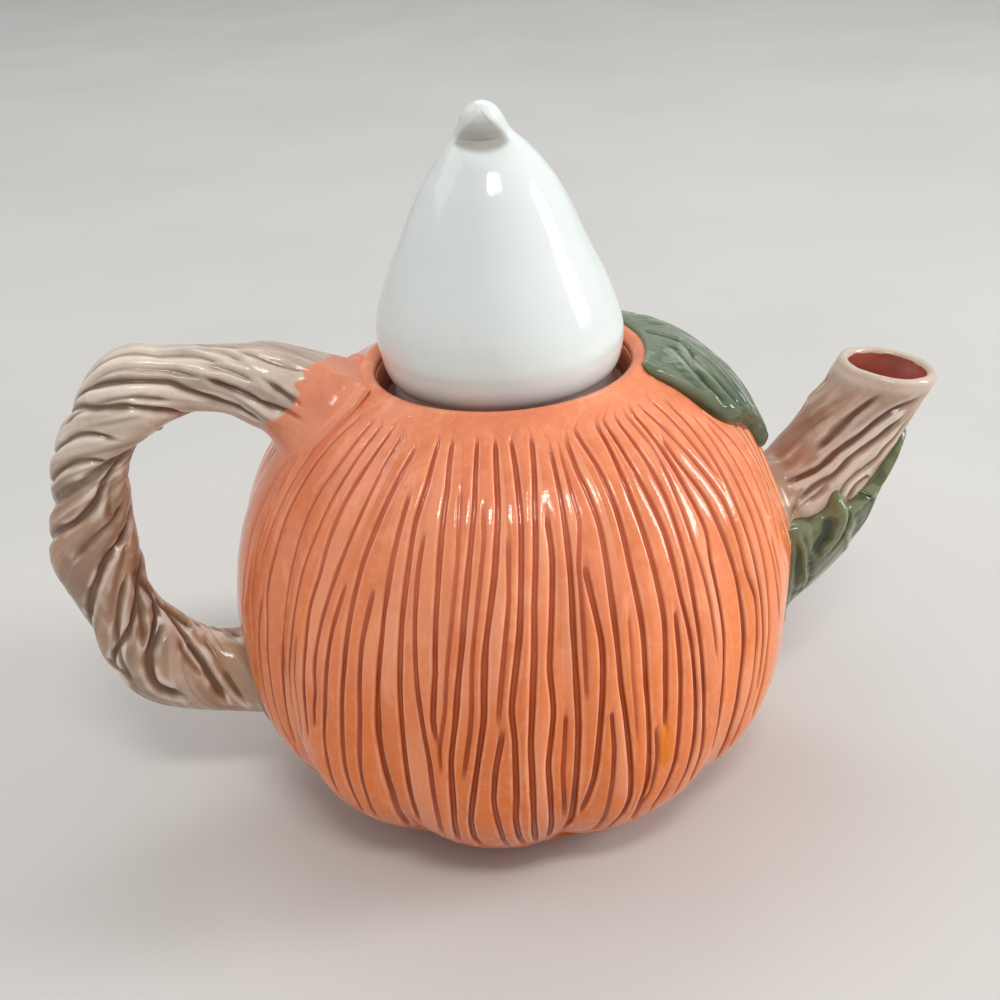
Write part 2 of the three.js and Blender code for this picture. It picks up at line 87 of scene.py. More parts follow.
def lobe_depth(z):
    z = np.asarray(z, float)
    t = 1 - z / BELLY_Z
    return np.where(z < BELLY_Z, 0.03 + 0.046 * t * t, 0.03 * (1 - smooth(80, 119, z)))


def swell(theta, z):
    s = 0
    for az, d_az, h, d_h, share in SWELLS:
        d = np.degrees(theta) - az
        d = d - 360 * np.round(d / 360)
        s = s + share * np.exp(-((d / d_az) ** 2) - ((z - h) / d_h) ** 2)
    return s


def body_point(theta, z, out=0.0):
    r = profile_r(z) * (1 - lobe_depth(z) * valley(theta)) * (1 + swell(theta, z)) + out
    return np.stack([axis_x(z) + r * np.cos(theta), r * np.sin(theta), z + 0 * theta], -1)


# ---------------------------------------------------------------- noise that is the same every run
def hash01(i, j, k, seed):
    """A number from 0 to 1 for each lattice point."""
    h = (
        i.astype(np.uint64) * np.uint64(73856093)
        ^ j.astype(np.uint64) * np.uint64(19349663)
        ^ k.astype(np.uint64) * np.uint64(83492791)
        ^ np.uint64(seed * 2654435761 % (1 << 32))
    ) & np.uint64(0xFFFFFFFF)
    h = ((h ^ (h >> np.uint64(16))) * np.uint64(0x45D9F3B)) & np.uint64(0xFFFFFFFF)
    h = ((h ^ (h >> np.uint64(16))) * np.uint64(0x45D9F3B)) & np.uint64(0xFFFFFFFF)
    h = h ^ (h >> np.uint64(16))
    return h.astype(float) / 4294967295.0


def noise3(p, size, seed=0):
    """Smooth noise from -1 to 1 at points p (n x 3), one cell every size."""
    q = np.asarray(p, float) / size + 1000.0
    i = np.floor(q).astype(np.int64)
    f = q - i
    f = f * f * (3 - 2 * f)
    total = 0
    for dx in (0, 1):
        for dy in (0, 1):
            for dz in (0, 1):
                w = (
                    (f[..., 0] if dx else 1 - f[..., 0])
                    * (f[..., 1] if dy else 1 - f[..., 1])
                    * (f[..., 2] if dz else 1 - f[..., 2])
                )
                total = total + w * hash01(i[..., 0] + dx, i[..., 1] + dy, i[..., 2] + dz, seed)
    return total * 2 - 1


def noise2(x, y, size_x, size_y, seed=0):
    x, y = np.broadcast_arrays(np.asarray(x, float), np.asarray(y, float))
    return noise3(np.stack([x / size_x, y / size_y, 0 * x], -1), 1.0, seed)


def noise1(x, size, seed=0):
    x = np.asarray(x, float)
    return noise3(np.stack([x / size, 0 * x, 0 * x], -1), 1.0, seed)


# ---------------------------------------------------------------- meshes
def make_mesh(name, verts_mm, faces, attributes=None, smooth_shade=True):
    """verts in mm; faces is a list of integer arrays, each n x 3 or n x 4."""
    me = bpy.data.meshes.new(name)
    v = np.asarray(verts_mm, np.float64) * 0.001
    me.vertices.add(len(v))
    me.vertices.foreach_set("co", v.astype(np.float32).ravel())
    faces = [np.asarray(f, np.int32) for f in faces if len(f)]
    loops = np.concatenate([f.ravel() for f in faces])
    counts = np.concatenate([np.full(len(f), f.shape[1], np.int32) for f in faces])
    starts = np.concatenate([[0], np.cumsum(counts)[:-1]]).astype(np.int32)
    me.loops.add(len(loops))
    me.loops.foreach_set("vertex_index", loops)
    me.polygons.add(len(counts))
    me.polygons.foreach_set("loop_start", starts)
    me.polygons.foreach_set("loop_total", counts)
    me.update(calc_edges=True)
    me.validate()
    if smooth_shade:
        me.polygons.foreach_set("use_smooth", np.ones(len(me.polygons), bool))
    for key, values in (attributes or {}).items():
        a = me.attributes.new(key, "FLOAT", "POINT")
        a.data.foreach_set("value", np.asarray(values, np.float32))
    ob = bpy.data.objects.new(name, me)
    scene.collection.objects.link(ob)
    return ob


def grid_faces(rows, cols, wrap=True, start=0):
    """Quads of a grid of vertices, row after row. Wrapped in the column direction by default."""
    j = np.arange(rows - 1)[:, None]
    i = np.arange(cols if wrap else cols - 1)[None, :]
    n = (i + 1) % cols
    a = j * cols + i
    b = j * cols + n
    c = (j + 1) * cols + n
    d = (j + 1) * cols + i
    return start + np.stack([a, b, c, d], -1).reshape(-1, 4)


def zip_rings(a, ang_a, b, ang_b, flip=False):
    """Triangles between two closed rings of vertex numbers, matched by rising angle (radians)."""
    a, b = list(a), list(b)
    ang_a = list(ang_a) + [ang_a[0] + 2 * np.pi]
    ang_b = list(ang_b) + [ang_b[0] + 2 * np.pi]
    i = j = 0
    tris = []
    while i < len(a) or j < len(b):
        if j >= len(b) or (i < len(a) and ang_a[i + 1] <= ang_b[j + 1]):
            tris.append((a[i % len(a)], a[(i + 1) % len(a)], b[j % len(b)]))
            i += 1
        else:
            tris.append((a[i % len(a)], b[(j + 1) % len(b)], b[j % len(b)]))
            j += 1
    t = np.array(tris, np.int32)
    return t[:, ::-1] if flip else t


def fan(ring, centre, flip=False):
    ring = np.asarray(ring)
    nxt = np.roll(ring, -1)
    t = np.stack([ring, nxt, np.full(len(ring), centre)], -1)
    return t[:, ::-1] if flip else t


def grid_normals(P, wrap_cols=True):
    """Unit normals of a grid of points (rows x cols x 3)."""
    if wrap_cols:
        du = np.roll(P, -1, 1) - np.roll(P, 1, 1)
    else:
        du = np.gradient(P, axis=1)
    dv = np.gradient(P, axis=0)
    n = np.cross(du, dv)
    n /= np.linalg.norm(n, axis=-1, keepdims=True) + 1e-12
    return n


# ---------------------------------------------------------------- materials
class Graph:
    """Short names for building a node material."""

    def __init__(self, name):
        self.mat = bpy.data.materials.new(name)
        self.mat.use_nodes = True
        self.nt = self.mat.node_tree
        self.bsdf = self.nt.nodes["Principled BSDF"]
        self.coord = self.nt.nodes.new("ShaderNodeTexCoord").outputs["Object"]

    def node(self, kind, **props):
        n = self.nt.nodes.new(kind)
        for k, v in props.items():
            setattr(n, k, v)
        return n

    def link(self, a, b):
        self.nt.links.new(a, b)

    def attr(self, name):
        n = self.node("ShaderNodeAttribute", attribute_name=name, attribute_type="GEOMETRY")
        return n.outputs["Fac"]

    def stretch(self, scale, vector=None):
        m = self.node("ShaderNodeMapping", vector_type="POINT")
        m.inputs["Scale"].default_value = scale
        self.link(vector or self.coord, m.inputs["Vector"])
        return m.outputs["Vector"]

    def noise(self, scale, detail=4.0, rough=0.5, vector=None, distort=0.0, lac=2.0):
        n = self.node("ShaderNodeTexNoise")
        n.inputs["Scale"].default_value = scale
        n.inputs["Detail"].default_value = detail
        n.inputs["Roughness"].default_value = rough
        n.inputs["Distortion"].default_value = distort
        n.inputs["Lacunarity"].default_value = lac
        self.link(vector or self.coord, n.inputs["Vector"])
        return n.outputs["Fac"]

    def ramp(self, fac, stops, interp="LINEAR"):
        n = self.node("ShaderNodeValToRGB")
        n.color_ramp.interpolation = interp
        els = n.color_ramp.elements
        while len(els) > 1:
            els.remove(els[-1])
        els[0].position, els[0].color = stops[0][0], rgba(stops[0][1])
        for pos, col in stops[1:]:
            e = els.new(pos)
            e.color = rgba(col)
        self.link(fac, n.inputs["Fac"])
        return n.outputs["Color"]

    def mixc(self, fac, a, b, kind="MIX"):
        n = self.node("ShaderNodeMix", data_type="RGBA", blend_type=kind)
        for sock, val in ((n.inputs[0], fac), (n.inputs[6], a), (n.inputs[7], b)):
            if isinstance(val, (int, float)):
                sock.default_value = val
            elif isinstance(val, tuple):
                sock.default_value = rgba(val)
            else:
                self.link(val, sock)
        return n.outputs[2]

    def math(self, op, a, b=0.0, clamp=False):
        n = self.node("ShaderNodeMath", operation=op, use_clamp=clamp)
        for sock, val in ((n.inputs[0], a), (n.inputs[1], b)):
            if isinstance(val, (int, float)):
                sock.default_value = val
            else:
                self.link(val, sock)
        return n.outputs[0]

    def maprange(self, v, a, b, c=0.0, d=1.0):
        n = self.node("ShaderNodeMapRange", interpolation_type="SMOOTHSTEP")
        n.inputs["From Min"].default_value = a
        n.inputs["From Max"].default_value = b
        n.inputs["To Min"].default_value = c
        n.inputs["To Max"].default_value = d
        self.link(v, n.inputs["Value"])
        return n.outputs["Result"]

    def height(self, sources):
        """Adds up bumps: (strength, distance in m, height)."""
        normal = None
        for strength, dist, h in sources:
            b = self.node("ShaderNodeBump")
            b.inputs["Strength"].default_value = strength
            b.inputs["Distance"].default_value = dist
            self.link(h, b.inputs["Height"])
            if normal is not None:
                self.link(normal, b.inputs["Normal"])
            normal = b.outputs["Normal"]
        self.link(normal, self.bsdf.inputs["Normal"])

    def z(self):
        s = self.node("ShaderNodeSeparateXYZ")
        self.link(self.coord, s.inputs[0])
        return s.outputs["Z"]

    def set(self, **values):
        for key, v in values.items():
            self.bsdf.inputs[key.replace("_", " ")].default_value = v


def rgba(c):
    """sRGB colour in 0-255 to linear."""
    if len(c) == 4:
        return c
    out = []
    for v in c:
        v = v / 255
        out.append(v / 12.92 if v <= 0.04045 else ((v + 0.055) / 1.055) ** 2.4)
    return (*out, 1.0)


def pumpkin_material():
    g = Graph("pumpkin_glaze")
    z = g.z()
    height = g.maprange(z, 0.018, 0.112)
    # colour of the ridges: pinker on the shoulder, deeper orange below; the deeper orange is partly painted warm bounce
    # light from below
    low = g.ramp(g.noise(38, 5, 0.6), [(0.3, (225, 106, 30)), (0.7, (237, 123, 46))])
    high = g.ramp(g.noise(45, 5, 0.6), [(0.3, (224, 126, 84)), (0.7, (236, 142, 102))])
    base = g.mixc(height, low, high)
    # strokes of deeper orange that follow the ribs
    streak = g.noise(60, 4, 0.55, g.stretch((1.0, 1.0, 0.10)))
    tone = g.attr("tone")
    deep = g.math("MULTIPLY", g.maprange(tone, 0.5, 0.95), g.maprange(streak, 0.38, 0.62))
    deep = g.math("MULTIPLY", deep, g.maprange(z, 0.105, 0.06, 0.15, 0.75))
    base = g.mixc(deep, base, (214, 104, 40))
    # brushed glaze: paler and browner strokes lie side by side
    brush = g.noise(95, 5, 0.62, g.stretch((1.0, 1.0, 0.16)), 0.6)
    base = g.mixc(g.maprange(brush, 0.52, 0.68, 0.0, 0.42), base, (200, 112, 62))
    base = g.mixc(g.maprange(brush, 0.46, 0.34, 0.0, 0.45), base, (248, 166, 120))
    vivid = g.math("MULTIPLY", g.maprange(g.noise(26, 4, 0.6, g.stretch((1.0, 1.0, 0.3))), 0.5, 0.66), g.maprange(z, 0.1, 0.07, 0.0, 0.6))
    base = g.mixc(vivid, base, (238, 124, 44))
    # ribs differ in tone; they are paler or browner up to the mouth
    body = g.maprange(z, 0.1175, 0.112)
    base = g.mixc(g.math("MULTIPLY", g.maprange(tone, 0.42, 0.12, 0.0, 0.42), body), base, (246, 166, 126))
    upper = g.math("MULTIPLY", g.maprange(z, 0.094, 0.108, 0.0, 0.45), body)
    base = g.mixc(g.math("MULTIPLY", g.maprange(tone, 0.6, 0.9), upper), base, (206, 110, 72))
    # soft brush marks run over the shoulder
    sweep = g.math("MULTIPLY", g.maprange(g.noise(48, 4, 0.55), 0.5, 0.66, 0.0, 0.45), g.maprange(z, 0.108, 0.118))
    base = g.mixc(sweep, base, (206, 114, 78))
    # painted shade with a warm bounce from below: browner and darker towards the bottom
    base = g.mixc(g.maprange(z, 0.036, 0.006, 0.0, 0.7), base, (184, 84, 28))
    # fine mottling of the glaze
    mott = g.noise(420, 3, 0.6)
    base = g.mixc(g.maprange(mott, 0.45, 0.75, 0.0, 0.22), base, (244, 168, 126))
    # thin glaze over sharp edges, with a painted highlight along them; thick brown glaze in the grooves
    edge = g.math("MULTIPLY", g.attr("edge"), g.maprange(g.noise(160, 3), 0.3, 0.6, 0.1, 0.6))
    base = g.mixc(edge, base, (246, 176, 138))
    groove = g.attr("groove")
    pool = g.maprange(groove, 0.10, 0.62)
    brown_low = g.ramp(g.noise(90, 4), [(0.3, (150, 58, 16)), (0.7, (180, 80, 32))])
    brown_high = g.ramp(g.noise(90, 4), [(0.3, (192, 98, 64)), (0.7, (212, 120, 86))])
    brown = g.mixc(g.maprange(z, 0.06, 0.108), brown_low, brown_high)
    base = g.mixc(pool, base, brown)
    # the one yellower touch on the front
    blot = g.node("ShaderNodeVectorMath", operation="DISTANCE")
    m = g.node("ShaderNodeMapping", vector_type="POINT")
    m.inputs["Scale"].default_value = (1.0, 1.0, 0.42)
    g.link(g.coord, m.inputs["Vector"])
    g.link(m.outputs["Vector"], blot.inputs[0])
    b = body_point(np.radians(-71.7), np.array(47.5)) * 0.001
    blot.inputs[1].default_value = (b[0], b[1], b[2] * 0.42)
    d = g.math("ADD", blot.outputs["Value"], g.math("MULTIPLY", g.math("SUBTRACT", g.noise(300, 3), 0.5), 0.0016))
    touch = g.math("MULTIPLY", g.maprange(d, 0.0034, 0.0021), g.maprange(groove, 0.5, 0.2))
    base = g.mixc(touch, base, (226, 118, 16))
    # inside of the pot, a darker terracotta that is partly painted shade within the pot, and unglazed foot
    zone = g.attr("zone")
    inside = g.ramp(g.noise(70, 5), [(0.35, (150, 86, 66)), (0.65, (176, 106, 84))])
    base = g.mixc(g.maprange(zone, 0.2, 0.8), base, inside)
    clay = g.ramp(g.noise(260, 4), [(0.35, (196, 180, 160)), (0.65, (220, 207, 190))])
    base = g.mixc(g.maprange(zone, 1.3, 1.7), base, clay)
    g.link(base, g.bsdf.inputs["Base Color"])
    rough = g.maprange(g.noise(120, 4), 0.3, 0.7, 0.07, 0.16)
    rough = g.math("ADD", rough, g.maprange(zone, 1.3, 1.7, 0.0, 0.5))
    g.link(rough, g.bsdf.inputs["Roughness"])
    g.height([(0.25, 0.0006, g.noise(150, 4, 0.5)), (0.12, 0.0003, g.noise(900, 2, 0.5))])
    g.set(IOR=1.44)
    return g.mat


def vine_material():
    g = Graph("vine_glaze")
    z = g.z()
    crease, cav = g.attr("crease"), g.attr("cav")
    # lighter on top, darker and browner low down: partly painted light from above
    low = g.ramp(g.noise(46, 5, 0.6), [(0.3, (155, 122, 95)), (0.7, (179, 146, 117))])
    high = g.ramp(g.noise(40, 5, 0.6), [(0.3, (200, 181, 162)), (0.7, (217, 200, 182))])
    base = g.mixc(g.maprange(z, 0.094, 0.118), low, high)
    pink = g.maprange(g.noise(31, 3, 0.5), 0.5, 0.68, 0.0, 0.36)
    base = g.mixc(pink, base, (192, 148, 132))
    grey = g.maprange(g.noise(57, 4, 0.5, g.stretch((1.0, 1.0, 0.6))), 0.52, 0.72, 0.0, 0.45)
    base = g.mixc(grey, base, (150, 132, 120))
    # glaze runs thin and pale on the crests, with a painted highlight on them; thick and brown in the folds
    base = g.mixc(g.maprange(cav, -0.03, -0.28, 0.0, 0.7), base, (234, 220, 206))
    fold = g.math("MULTIPLY", g.maprange(cav, 0.03, 0.42), g.maprange(g.noise(120, 4), 0.2, 0.6, 0.55, 0.95))
    base = g.mixc(g.math("MULTIPLY", fold, 0.85), base, (114, 82, 60))
    # long strands differ a little in tone
    fib = g.attr("fib")
    base = g.mixc(g.maprange(fib, 0.52, 0.85, 0.0, 0.5), base, (132, 106, 88))
    base = g.mixc(g.maprange(fib, 0.42, 0.12, 0.0, 0.35), base, (218, 200, 184))
    line = g.math("MULTIPLY", g.maprange(crease, 0.25, 1.1), g.maprange(g.noise(150, 4), 0.2, 0.6, 0.45, 0.85))
    base = g.mixc(line, base, (98, 70, 52))
    # the mouth of the spout
    base = g.mixc(g.math("MULTIPLY", g.attr("lip"), 0.7), base, (206, 186, 168))
    # the pot's orange glaze runs out over the root of the handle
    orange = g.attr("orange")
    ora = g.ramp(g.noise(60, 4), [(0.3, (226, 136, 100)), (0.7, (238, 156, 120))])
    ora = g.mixc(g.maprange(cav, 0.05, 0.4, 0.0, 0.8), ora, (176, 92, 58))
    base = g.mixc(orange, base, ora)
    zone = g.attr("zone")
    bore = g.ramp(g.noise(90, 5), [(0.35, (150, 70, 56)), (0.65, (178, 92, 74))])
    base = g.mixc(g.maprange(zone, 0.35, 0.65), base, bore)
    mott = g.noise(520, 3, 0.6)
    base = g.mixc(g.maprange(mott, 0.5, 0.8, 0.0, 0.18), base, (120, 94, 78))
    g.link(base, g.bsdf.inputs["Base Color"])
    g.link(g.maprange(g.noise(110, 4), 0.3, 0.7, 0.14, 0.27), g.bsdf.inputs["Roughness"])
    g.height([(0.3, 0.0006, g.noise(170, 4, 0.5)), (0.12, 0.0003, g.noise(800, 2, 0.5))])
    g.set(IOR=1.46)
    return g.mat


def leaf_material():
    g = Graph("leaf_glaze")
    cav = g.attr("cav")
    # the leaf under the spout takes darker olive colours than the shoulder leaf, partly painted shade under the spout
    green = g.ramp(g.noise(52, 5, 0.6), [(0.3, (86, 100, 76)), (0.7, (112, 124, 98))])
    shaded_olive = g.ramp(g.noise(48, 5, 0.6), [(0.3, (62, 68, 38)), (0.7, (88, 90, 54))])
    base = g.mixc(g.attr("shaded_olive"), green, shaded_olive)
    strand = g.noise(70, 4, 0.55, g.stretch((1.0, 1.0, 0.5)))
    soft = g.mixc(g.attr("shaded_olive"), (138, 142, 112), (104, 104, 66))
    base = g.mixc(g.maprange(strand, 0.5, 0.72, 0.0, 0.45), base, soft)
    # pale on the raised veins and folds: thin glaze with a painted highlight
    pale_and_highlight = g.mixc(g.attr("shaded_olive"), (156, 166, 140), (136, 142, 108))
    base = g.mixc(g.maprange(cav, 0.05, 0.36, 0.0, 0.6), base, pale_and_highlight)
    # painted shade: the shoulder leaf is darker towards its tip, low down
    shade = g.math("MULTIPLY", g.maprange(g.z(), 0.1215, 0.109), g.maprange(g.noise(75, 4), 0.3, 0.65, 0.25, 0.8))
    base = g.mixc(g.math("MULTIPLY", shade, g.math("SUBTRACT", 1.0, g.attr("shaded_olive"))), base, (58, 74, 50))
    pool = g.math("MULTIPLY", g.maprange(cav, -0.02, -0.3), g.maprange(g.noise(130, 4), 0.2, 0.6, 0.6, 0.95))
    base = g.mixc(pool, base, (44, 54, 32))
    base = g.mixc(g.math("MULTIPLY", g.attr("rim"), g.maprange(g.noise(90, 4), 0.35, 0.65, 0.1, 0.5)), base, (104, 106, 74))
    mott = g.noise(480, 3, 0.6)
    base = g.mixc(g.maprange(mott, 0.5, 0.8, 0.0, 0.2), base, (70, 76, 54))
    g.link(base, g.bsdf.inputs["Base Color"])
    g.link(g.maprange(g.noise(110, 4), 0.3, 0.7, 0.05, 0.13), g.bsdf.inputs["Roughness"])
    g.height([(0.25, 0.0006, g.noise(160, 4, 0.5)), (0.1, 0.0003, g.noise(800, 2, 0.5))])
    g.set(IOR=1.52)
    return g.mat


def white_material():
    g = Graph("white_glaze")
    base = g.ramp(g.noise(24, 4, 0.55), [(0.3, (216, 221, 217)), (0.7, (223, 226, 222))])
    # clay shows warmer through thin glaze at edges and inside; on the neck the tan tint is partly painted shade of the
    # gap
    warm = g.maprange(g.noise(95, 5, 0.6), 0.6, 0.8, 0.0, 0.25)
    base = g.mixc(warm, base, (206, 198, 186))
    base = g.mixc(g.math("MULTIPLY", g.attr("zone"), 0.6), base, (186, 168, 154))
    # painted shade in the scoop under the curled tip
    base = g.mixc(g.math("MULTIPLY", g.attr("shade"), 0.9), base, (160, 152, 143))
    # a few tiny iron specks
    v = g.node("ShaderNodeTexVoronoi", feature="F1")
    v.inputs["Scale"].default_value = 95
    g.link(g.coord, v.inputs["Vector"])
    s = g.node("ShaderNodeSeparateColor")
    g.link(v.outputs["Color"], s.inputs[0])
    few = g.maprange(s.outputs[0], 0.93, 0.95)
    dot = g.math("MULTIPLY", g.maprange(v.outputs["Distance"], 0.055, 0.02), few)
    base = g.mixc(g.math("MULTIPLY", dot, 0.75), base, (120, 96, 78))
    g.link(base, g.bsdf.inputs["Base Color"])
    rough = g.maprange(g.noise(60, 4), 0.3, 0.7, 0.08, 0.15)
    g.link(g.math("ADD", rough, g.math("MULTIPLY", g.attr("shade"), 0.4)), g.bsdf.inputs["Roughness"])
    g.height([(0.2, 0.0008, g.noise(60, 3, 0.5)), (0.08, 0.0003, g.noise(700, 2, 0.5))])
    g.set(IOR=1.52)
    return g.mat


def inner_material():
    g = Graph("inner_glaze")
    # dark terracotta inside the pot, partly painted shade of the covered inside
    base = g.ramp(g.noise(80, 5, 0.6), [(0.3, (120, 74, 58)), (0.7, (150, 96, 76))])
    base = g.mixc(g.maprange(g.noise(340, 3), 0.5, 0.75, 0.0, 0.4), base, (100, 68, 56))
    # the throat is orange glaze, darker lower down: painted shade going down into the mouth
    throat = g.mixc(g.maprange(g.z(), 0.1165, 0.1212), (188, 104, 72), (234, 138, 98))
    base = g.mixc(g.maprange(g.z(), 0.1124, 0.1150), base, throat)
    g.link(base, g.bsdf.inputs["Base Color"])
    g.link(g.maprange(g.noise(120, 4), 0.3, 0.7, 0.16, 0.3), g.bsdf.inputs["Roughness"])
    g.height([(0.25, 0.0005, g.noise(180, 4, 0.5))])
    g.set(IOR=1.46)
    return g.mat


# ---------------------------------------------------------------- carved grooves of the body
# Each groove: depth as a share of the deepest, then points (height mm, azimuth degrees).
GROOVES = [
    (0.56, [(119, -173.4), (116, -171.8), (111, -170.6), (89, -167.8), (82, -166.0), (74, -165.6), (69, -166.2)]),
    (0.55, [(119, -168.3), (115, -167.8), (107, -165.3), (104, -164.6), (88, -163.0), (82, -161.5), (77, -161.3), (73, -160.5), (64, -160.4)]),
    (0.71, [(119, -162.2), (115, -162.4), (109, -161.2), (97, -160.2), (89, -159.8), (85, -160.0)]),
    (0.58, [(79, -157.0), (57, -159.2), (46, -159.5), (38, -159.1)]),
    (0.83, [(119, -154.0), (115, -156.1), (111, -156.7), (99, -156.6), (91, -155.9), (82, -155.9), (73, -154.9), (46, -156.3), (40, -155.9), (32, -154.5), (29, -154.6)]),
    (0.82, [(119, -148.1), (113, -148.0), (106, -149.6), (101, -149.9), (75, -149.4), (59, -151.4), (35, -153.1)]),
    (0.86, [(119, -143.3), (106, -144.3), (97, -144.5), (91, -145.1), (79, -145.2), (73, -145.7), (57, -148.9), (51, -149.7)]),
    (0.44, [(77, -143.4), (68, -144.3), (63, -145.3), (53, -145.0), (43, -146.1)]),
    (0.93, [(119, -138.1), (107, -140.1), (100, -140.3), (92, -139.8), (85, -140.6), (75, -140.7), (61, -142.2), (46, -143.2)]),
    (0.85, [(119, -133.3), (104, -134.5), (70, -138.5), (63, -138.5), (58, -139.6), (51, -140.3)]),
    (0.90, [(92, -132.9), (81, -134.4), (61, -136.3), (50, -138.0), (28, -139.8)]),
    (0.95, [(117, -126.9), (112, -128.2), (107, -129.1), (97, -130.3), (73, -131.4), (44, -134.0), (31, -134.5), (23, -135.6)]),
    (0.81, [(92, -126.9), (80, -128.0), (61, -128.8), (45, -130.5), (33, -131.2), (21, -132.9)]),
    (1.10, [(110, -123.7), (81, -124.2), (56, -125.8), (37, -125.6), (22, -126.8), (16, -128.2)]),
    (1.10, [(119, -120.4), (112, -119.8), (106, -120.5), (98, -120.0), (76, -119.9), (49, -120.4), (32, -121.0), (25, -121.7)]),
    (0.83, [(104, -117.7), (98, -117.8), (51, -115.3), (33, -115.8), (21, -117.1)]),
    (1.00, [(119, -116.1), (112, -114.3), (94, -113.2), (76, -112.9), (63, -113.9), (57, -113.4)]),
    (0.53, [(112, -110.8), (100, -109.7), (89, -110.0), (67, -111.4), (55, -113.3), (47, -113.4)]),
    (1.06, [(119, -108.0), (109, -107.0), (83, -108.0), (65, -109.6), (53, -111.2), (38, -112.0), (19, -113.8)]),
    (0.59, [(109, -104.9), (103, -104.5), (80, -106.2), (68, -106.6), (61, -107.3), (46, -109.5)]),
    (1.10, [(119, -102.4), (109, -101.5), (97, -102.2), (83, -103.8), (65, -104.6), (32, -109.3), (22, -109.8), (16, -109.0)]),
    (0.57, [(104, -99.4), (92, -99.5), (62, -102.4)]),
    (0.92, [(62, -101.4), (50, -103.4), (40, -104.3), (22, -103.7), (16, -103.2)]),
    (1.10, [(119, -97.5), (115, -96.8), (107, -96.4), (85, -97.6), (67, -99.8), (59, -99.5), (41, -100.0), (33, -100.6), (23, -100.4), (16, -99.5)]),
    (1.10, [(119, -91.1), (109, -93.0), (91, -94.7), (80, -95.1), (57, -96.8), (27, -97.1), (16, -96.8)]),
    (1.10, [(107, -90.7), (100, -90.4), (76, -92.5), (65, -92.2), (50, -93.9), (25, -93.4), (17, -93.9)]),
    (0.66, [(64, -90.0), (46, -91.2), (27, -90.6)]),
    (1.10, [(117, -86.4), (85, -87.6), (59, -87.9), (39, -88.8), (27, -89.0), (23, -89.4), (19, -90.7)]),
    (0.55, [(117, -83.9), (110, -84.0), (105, -83.6), (100, -84.9), (97, -85.5), (65, -86.2)]),
    (1.06, [(97, -84.3), (81, -82.7), (75, -82.8), (43, -85.3), (29, -87.5)]),
    (0.76, [(63, -82.0), (52, -81.6), (27, -82.2), (21, -82.7), (16, -83.6)]),
    (1.05, [(118, -80.9), (113, -81.0), (110, -80.1), (104, -79.4), (92, -79.9), (69, -79.9), (34, -77.8), (27, -78.2), (17, -80.1)]),
    (0.40, [(86, -77.2), (71, -77.7), (51, -77.3)]),
    (1.10, [(119, -77.2), (113, -75.2), (106, -74.7), (95, -75.1), (82, -74.7), (68, -75.2), (39, -74.6), (29, -75.2), (20, -73.8)]),
    (0.64, [(55, -73.6), (46, -73.0), (34, -73.4), (32, -73.6), (29, -74.5), (25, -75.2), (23, -75.7), (19, -76.3)]),
    (1.10, [(119, -69.4), (116, -69.4), (111, -70.1), (107, -70.3), (82, -70.0), (68, -71.2), (53, -71.6)]),
    (1.06, [(82, -67.5), (41, -68.7), (22, -71.1)]),
    (1.10, [(119, -66.4), (111, -66.4), (99, -65.4), (86, -65.7), (74, -64.8), (46, -64.3), (35, -64.7), (25, -65.7)]),
    (1.00, [(119, -61.8), (104, -61.6), (99, -62.1), (81, -62.7), (52, -62.2), (38, -61.3), (27, -61.8)]),
    (0.58, [(119, -57.7), (113, -57.6), (103, -59.0), (95, -59.3), (80, -58.4), (64, -58.3)]),
    (1.10, [(119, -54.7), (112, -55.2), (103, -55.1), (94, -54.1), (89, -55.6), (69, -55.1), (52, -56.3), (34, -56.6)]),
    (1.01, [(113, -52.8), (109, -53.0), (100, -50.7), (81, -49.2), (65, -49.2), (51, -50.2), (38, -50.3), (32, -49.9), (23, -48.6)]),
    (0.73, [(119, -50.4), (112, -49.3), (98, -46.2), (80, -46.4), (74, -45.0), (59, -45.5), (38, -47.0), (31, -47.0), (26, -46.4)]),
    (0.68, [(119, -44.2), (111, -45.0), (101, -44.3)]),
    (0.74, [(117, -39.6), (105, -42.0), (95, -43.1), (58, -43.0), (43, -44.1)]),
    (0.64, [(113, -36.1), (106, -38.1), (99, -39.1), (59, -40.8), (39, -42.5), (33, -42.3)]),
    (0.57, [(111, -33.4), (98, -35.6), (93, -36.0), (69, -35.5), (57, -34.4)]),
    (0.63, [(83, -33.7), (64, -33.6)]),
    (0.70, [(112, -30.9), (110, -30.7), (106, -29.7), (100, -29.5), (92, -31.3), (85, -32.2)]),
    (0.61, [(100, -25.5), (97, -25.4), (94, -25.9), (88, -27.4), (82, -29.8), (77, -30.7)]),
]
GROOVE_HALF_W = 0.8  # mm
GROOVE_DEPTH = 1.0  # mm
BODY_ROWS = 73


def body_profile():
    """Outline from the foot to the mouth's wall: (r, z, share of the lobes), evenly along it."""
    pts = [(33.0, 0.0, 0.0), (33.9, 0.02, 0.12), (35.6, 0.16, 0.45), (37.9, 0.48, 0.8)]
    for z in np.concatenate([np.linspace(0.95, 6, 24), np.linspace(6.3, 121.3, 500)]):
        pts.append((float(profile_r(z)), float(z), 1.0))
    # the lip rolls over in a soft round
    r_top = float(profile_r(121.3))
    for k in range(1, 9):
        t = k / 8
        pts.append((mix(r_top, 35.1, t), 121.3 + 1.1 * math.sin(t * math.pi / 2), 1.0 - t))
    for k in range(1, 7):
        a = k / 6 * math.pi / 2
        pts.append((35.1 - 2.8 * math.sin(a), 120.2 + 2.2 * math.cos(a), 0.0))
    pts = np.array(pts)
    seg = np.hypot(np.diff(pts[:, 0]), np.diff(pts[:, 1]))
    s = np.concatenate([[0], np.cumsum(seg)])
    return s, pts


PROFILE_S, PROFILE = body_profile()


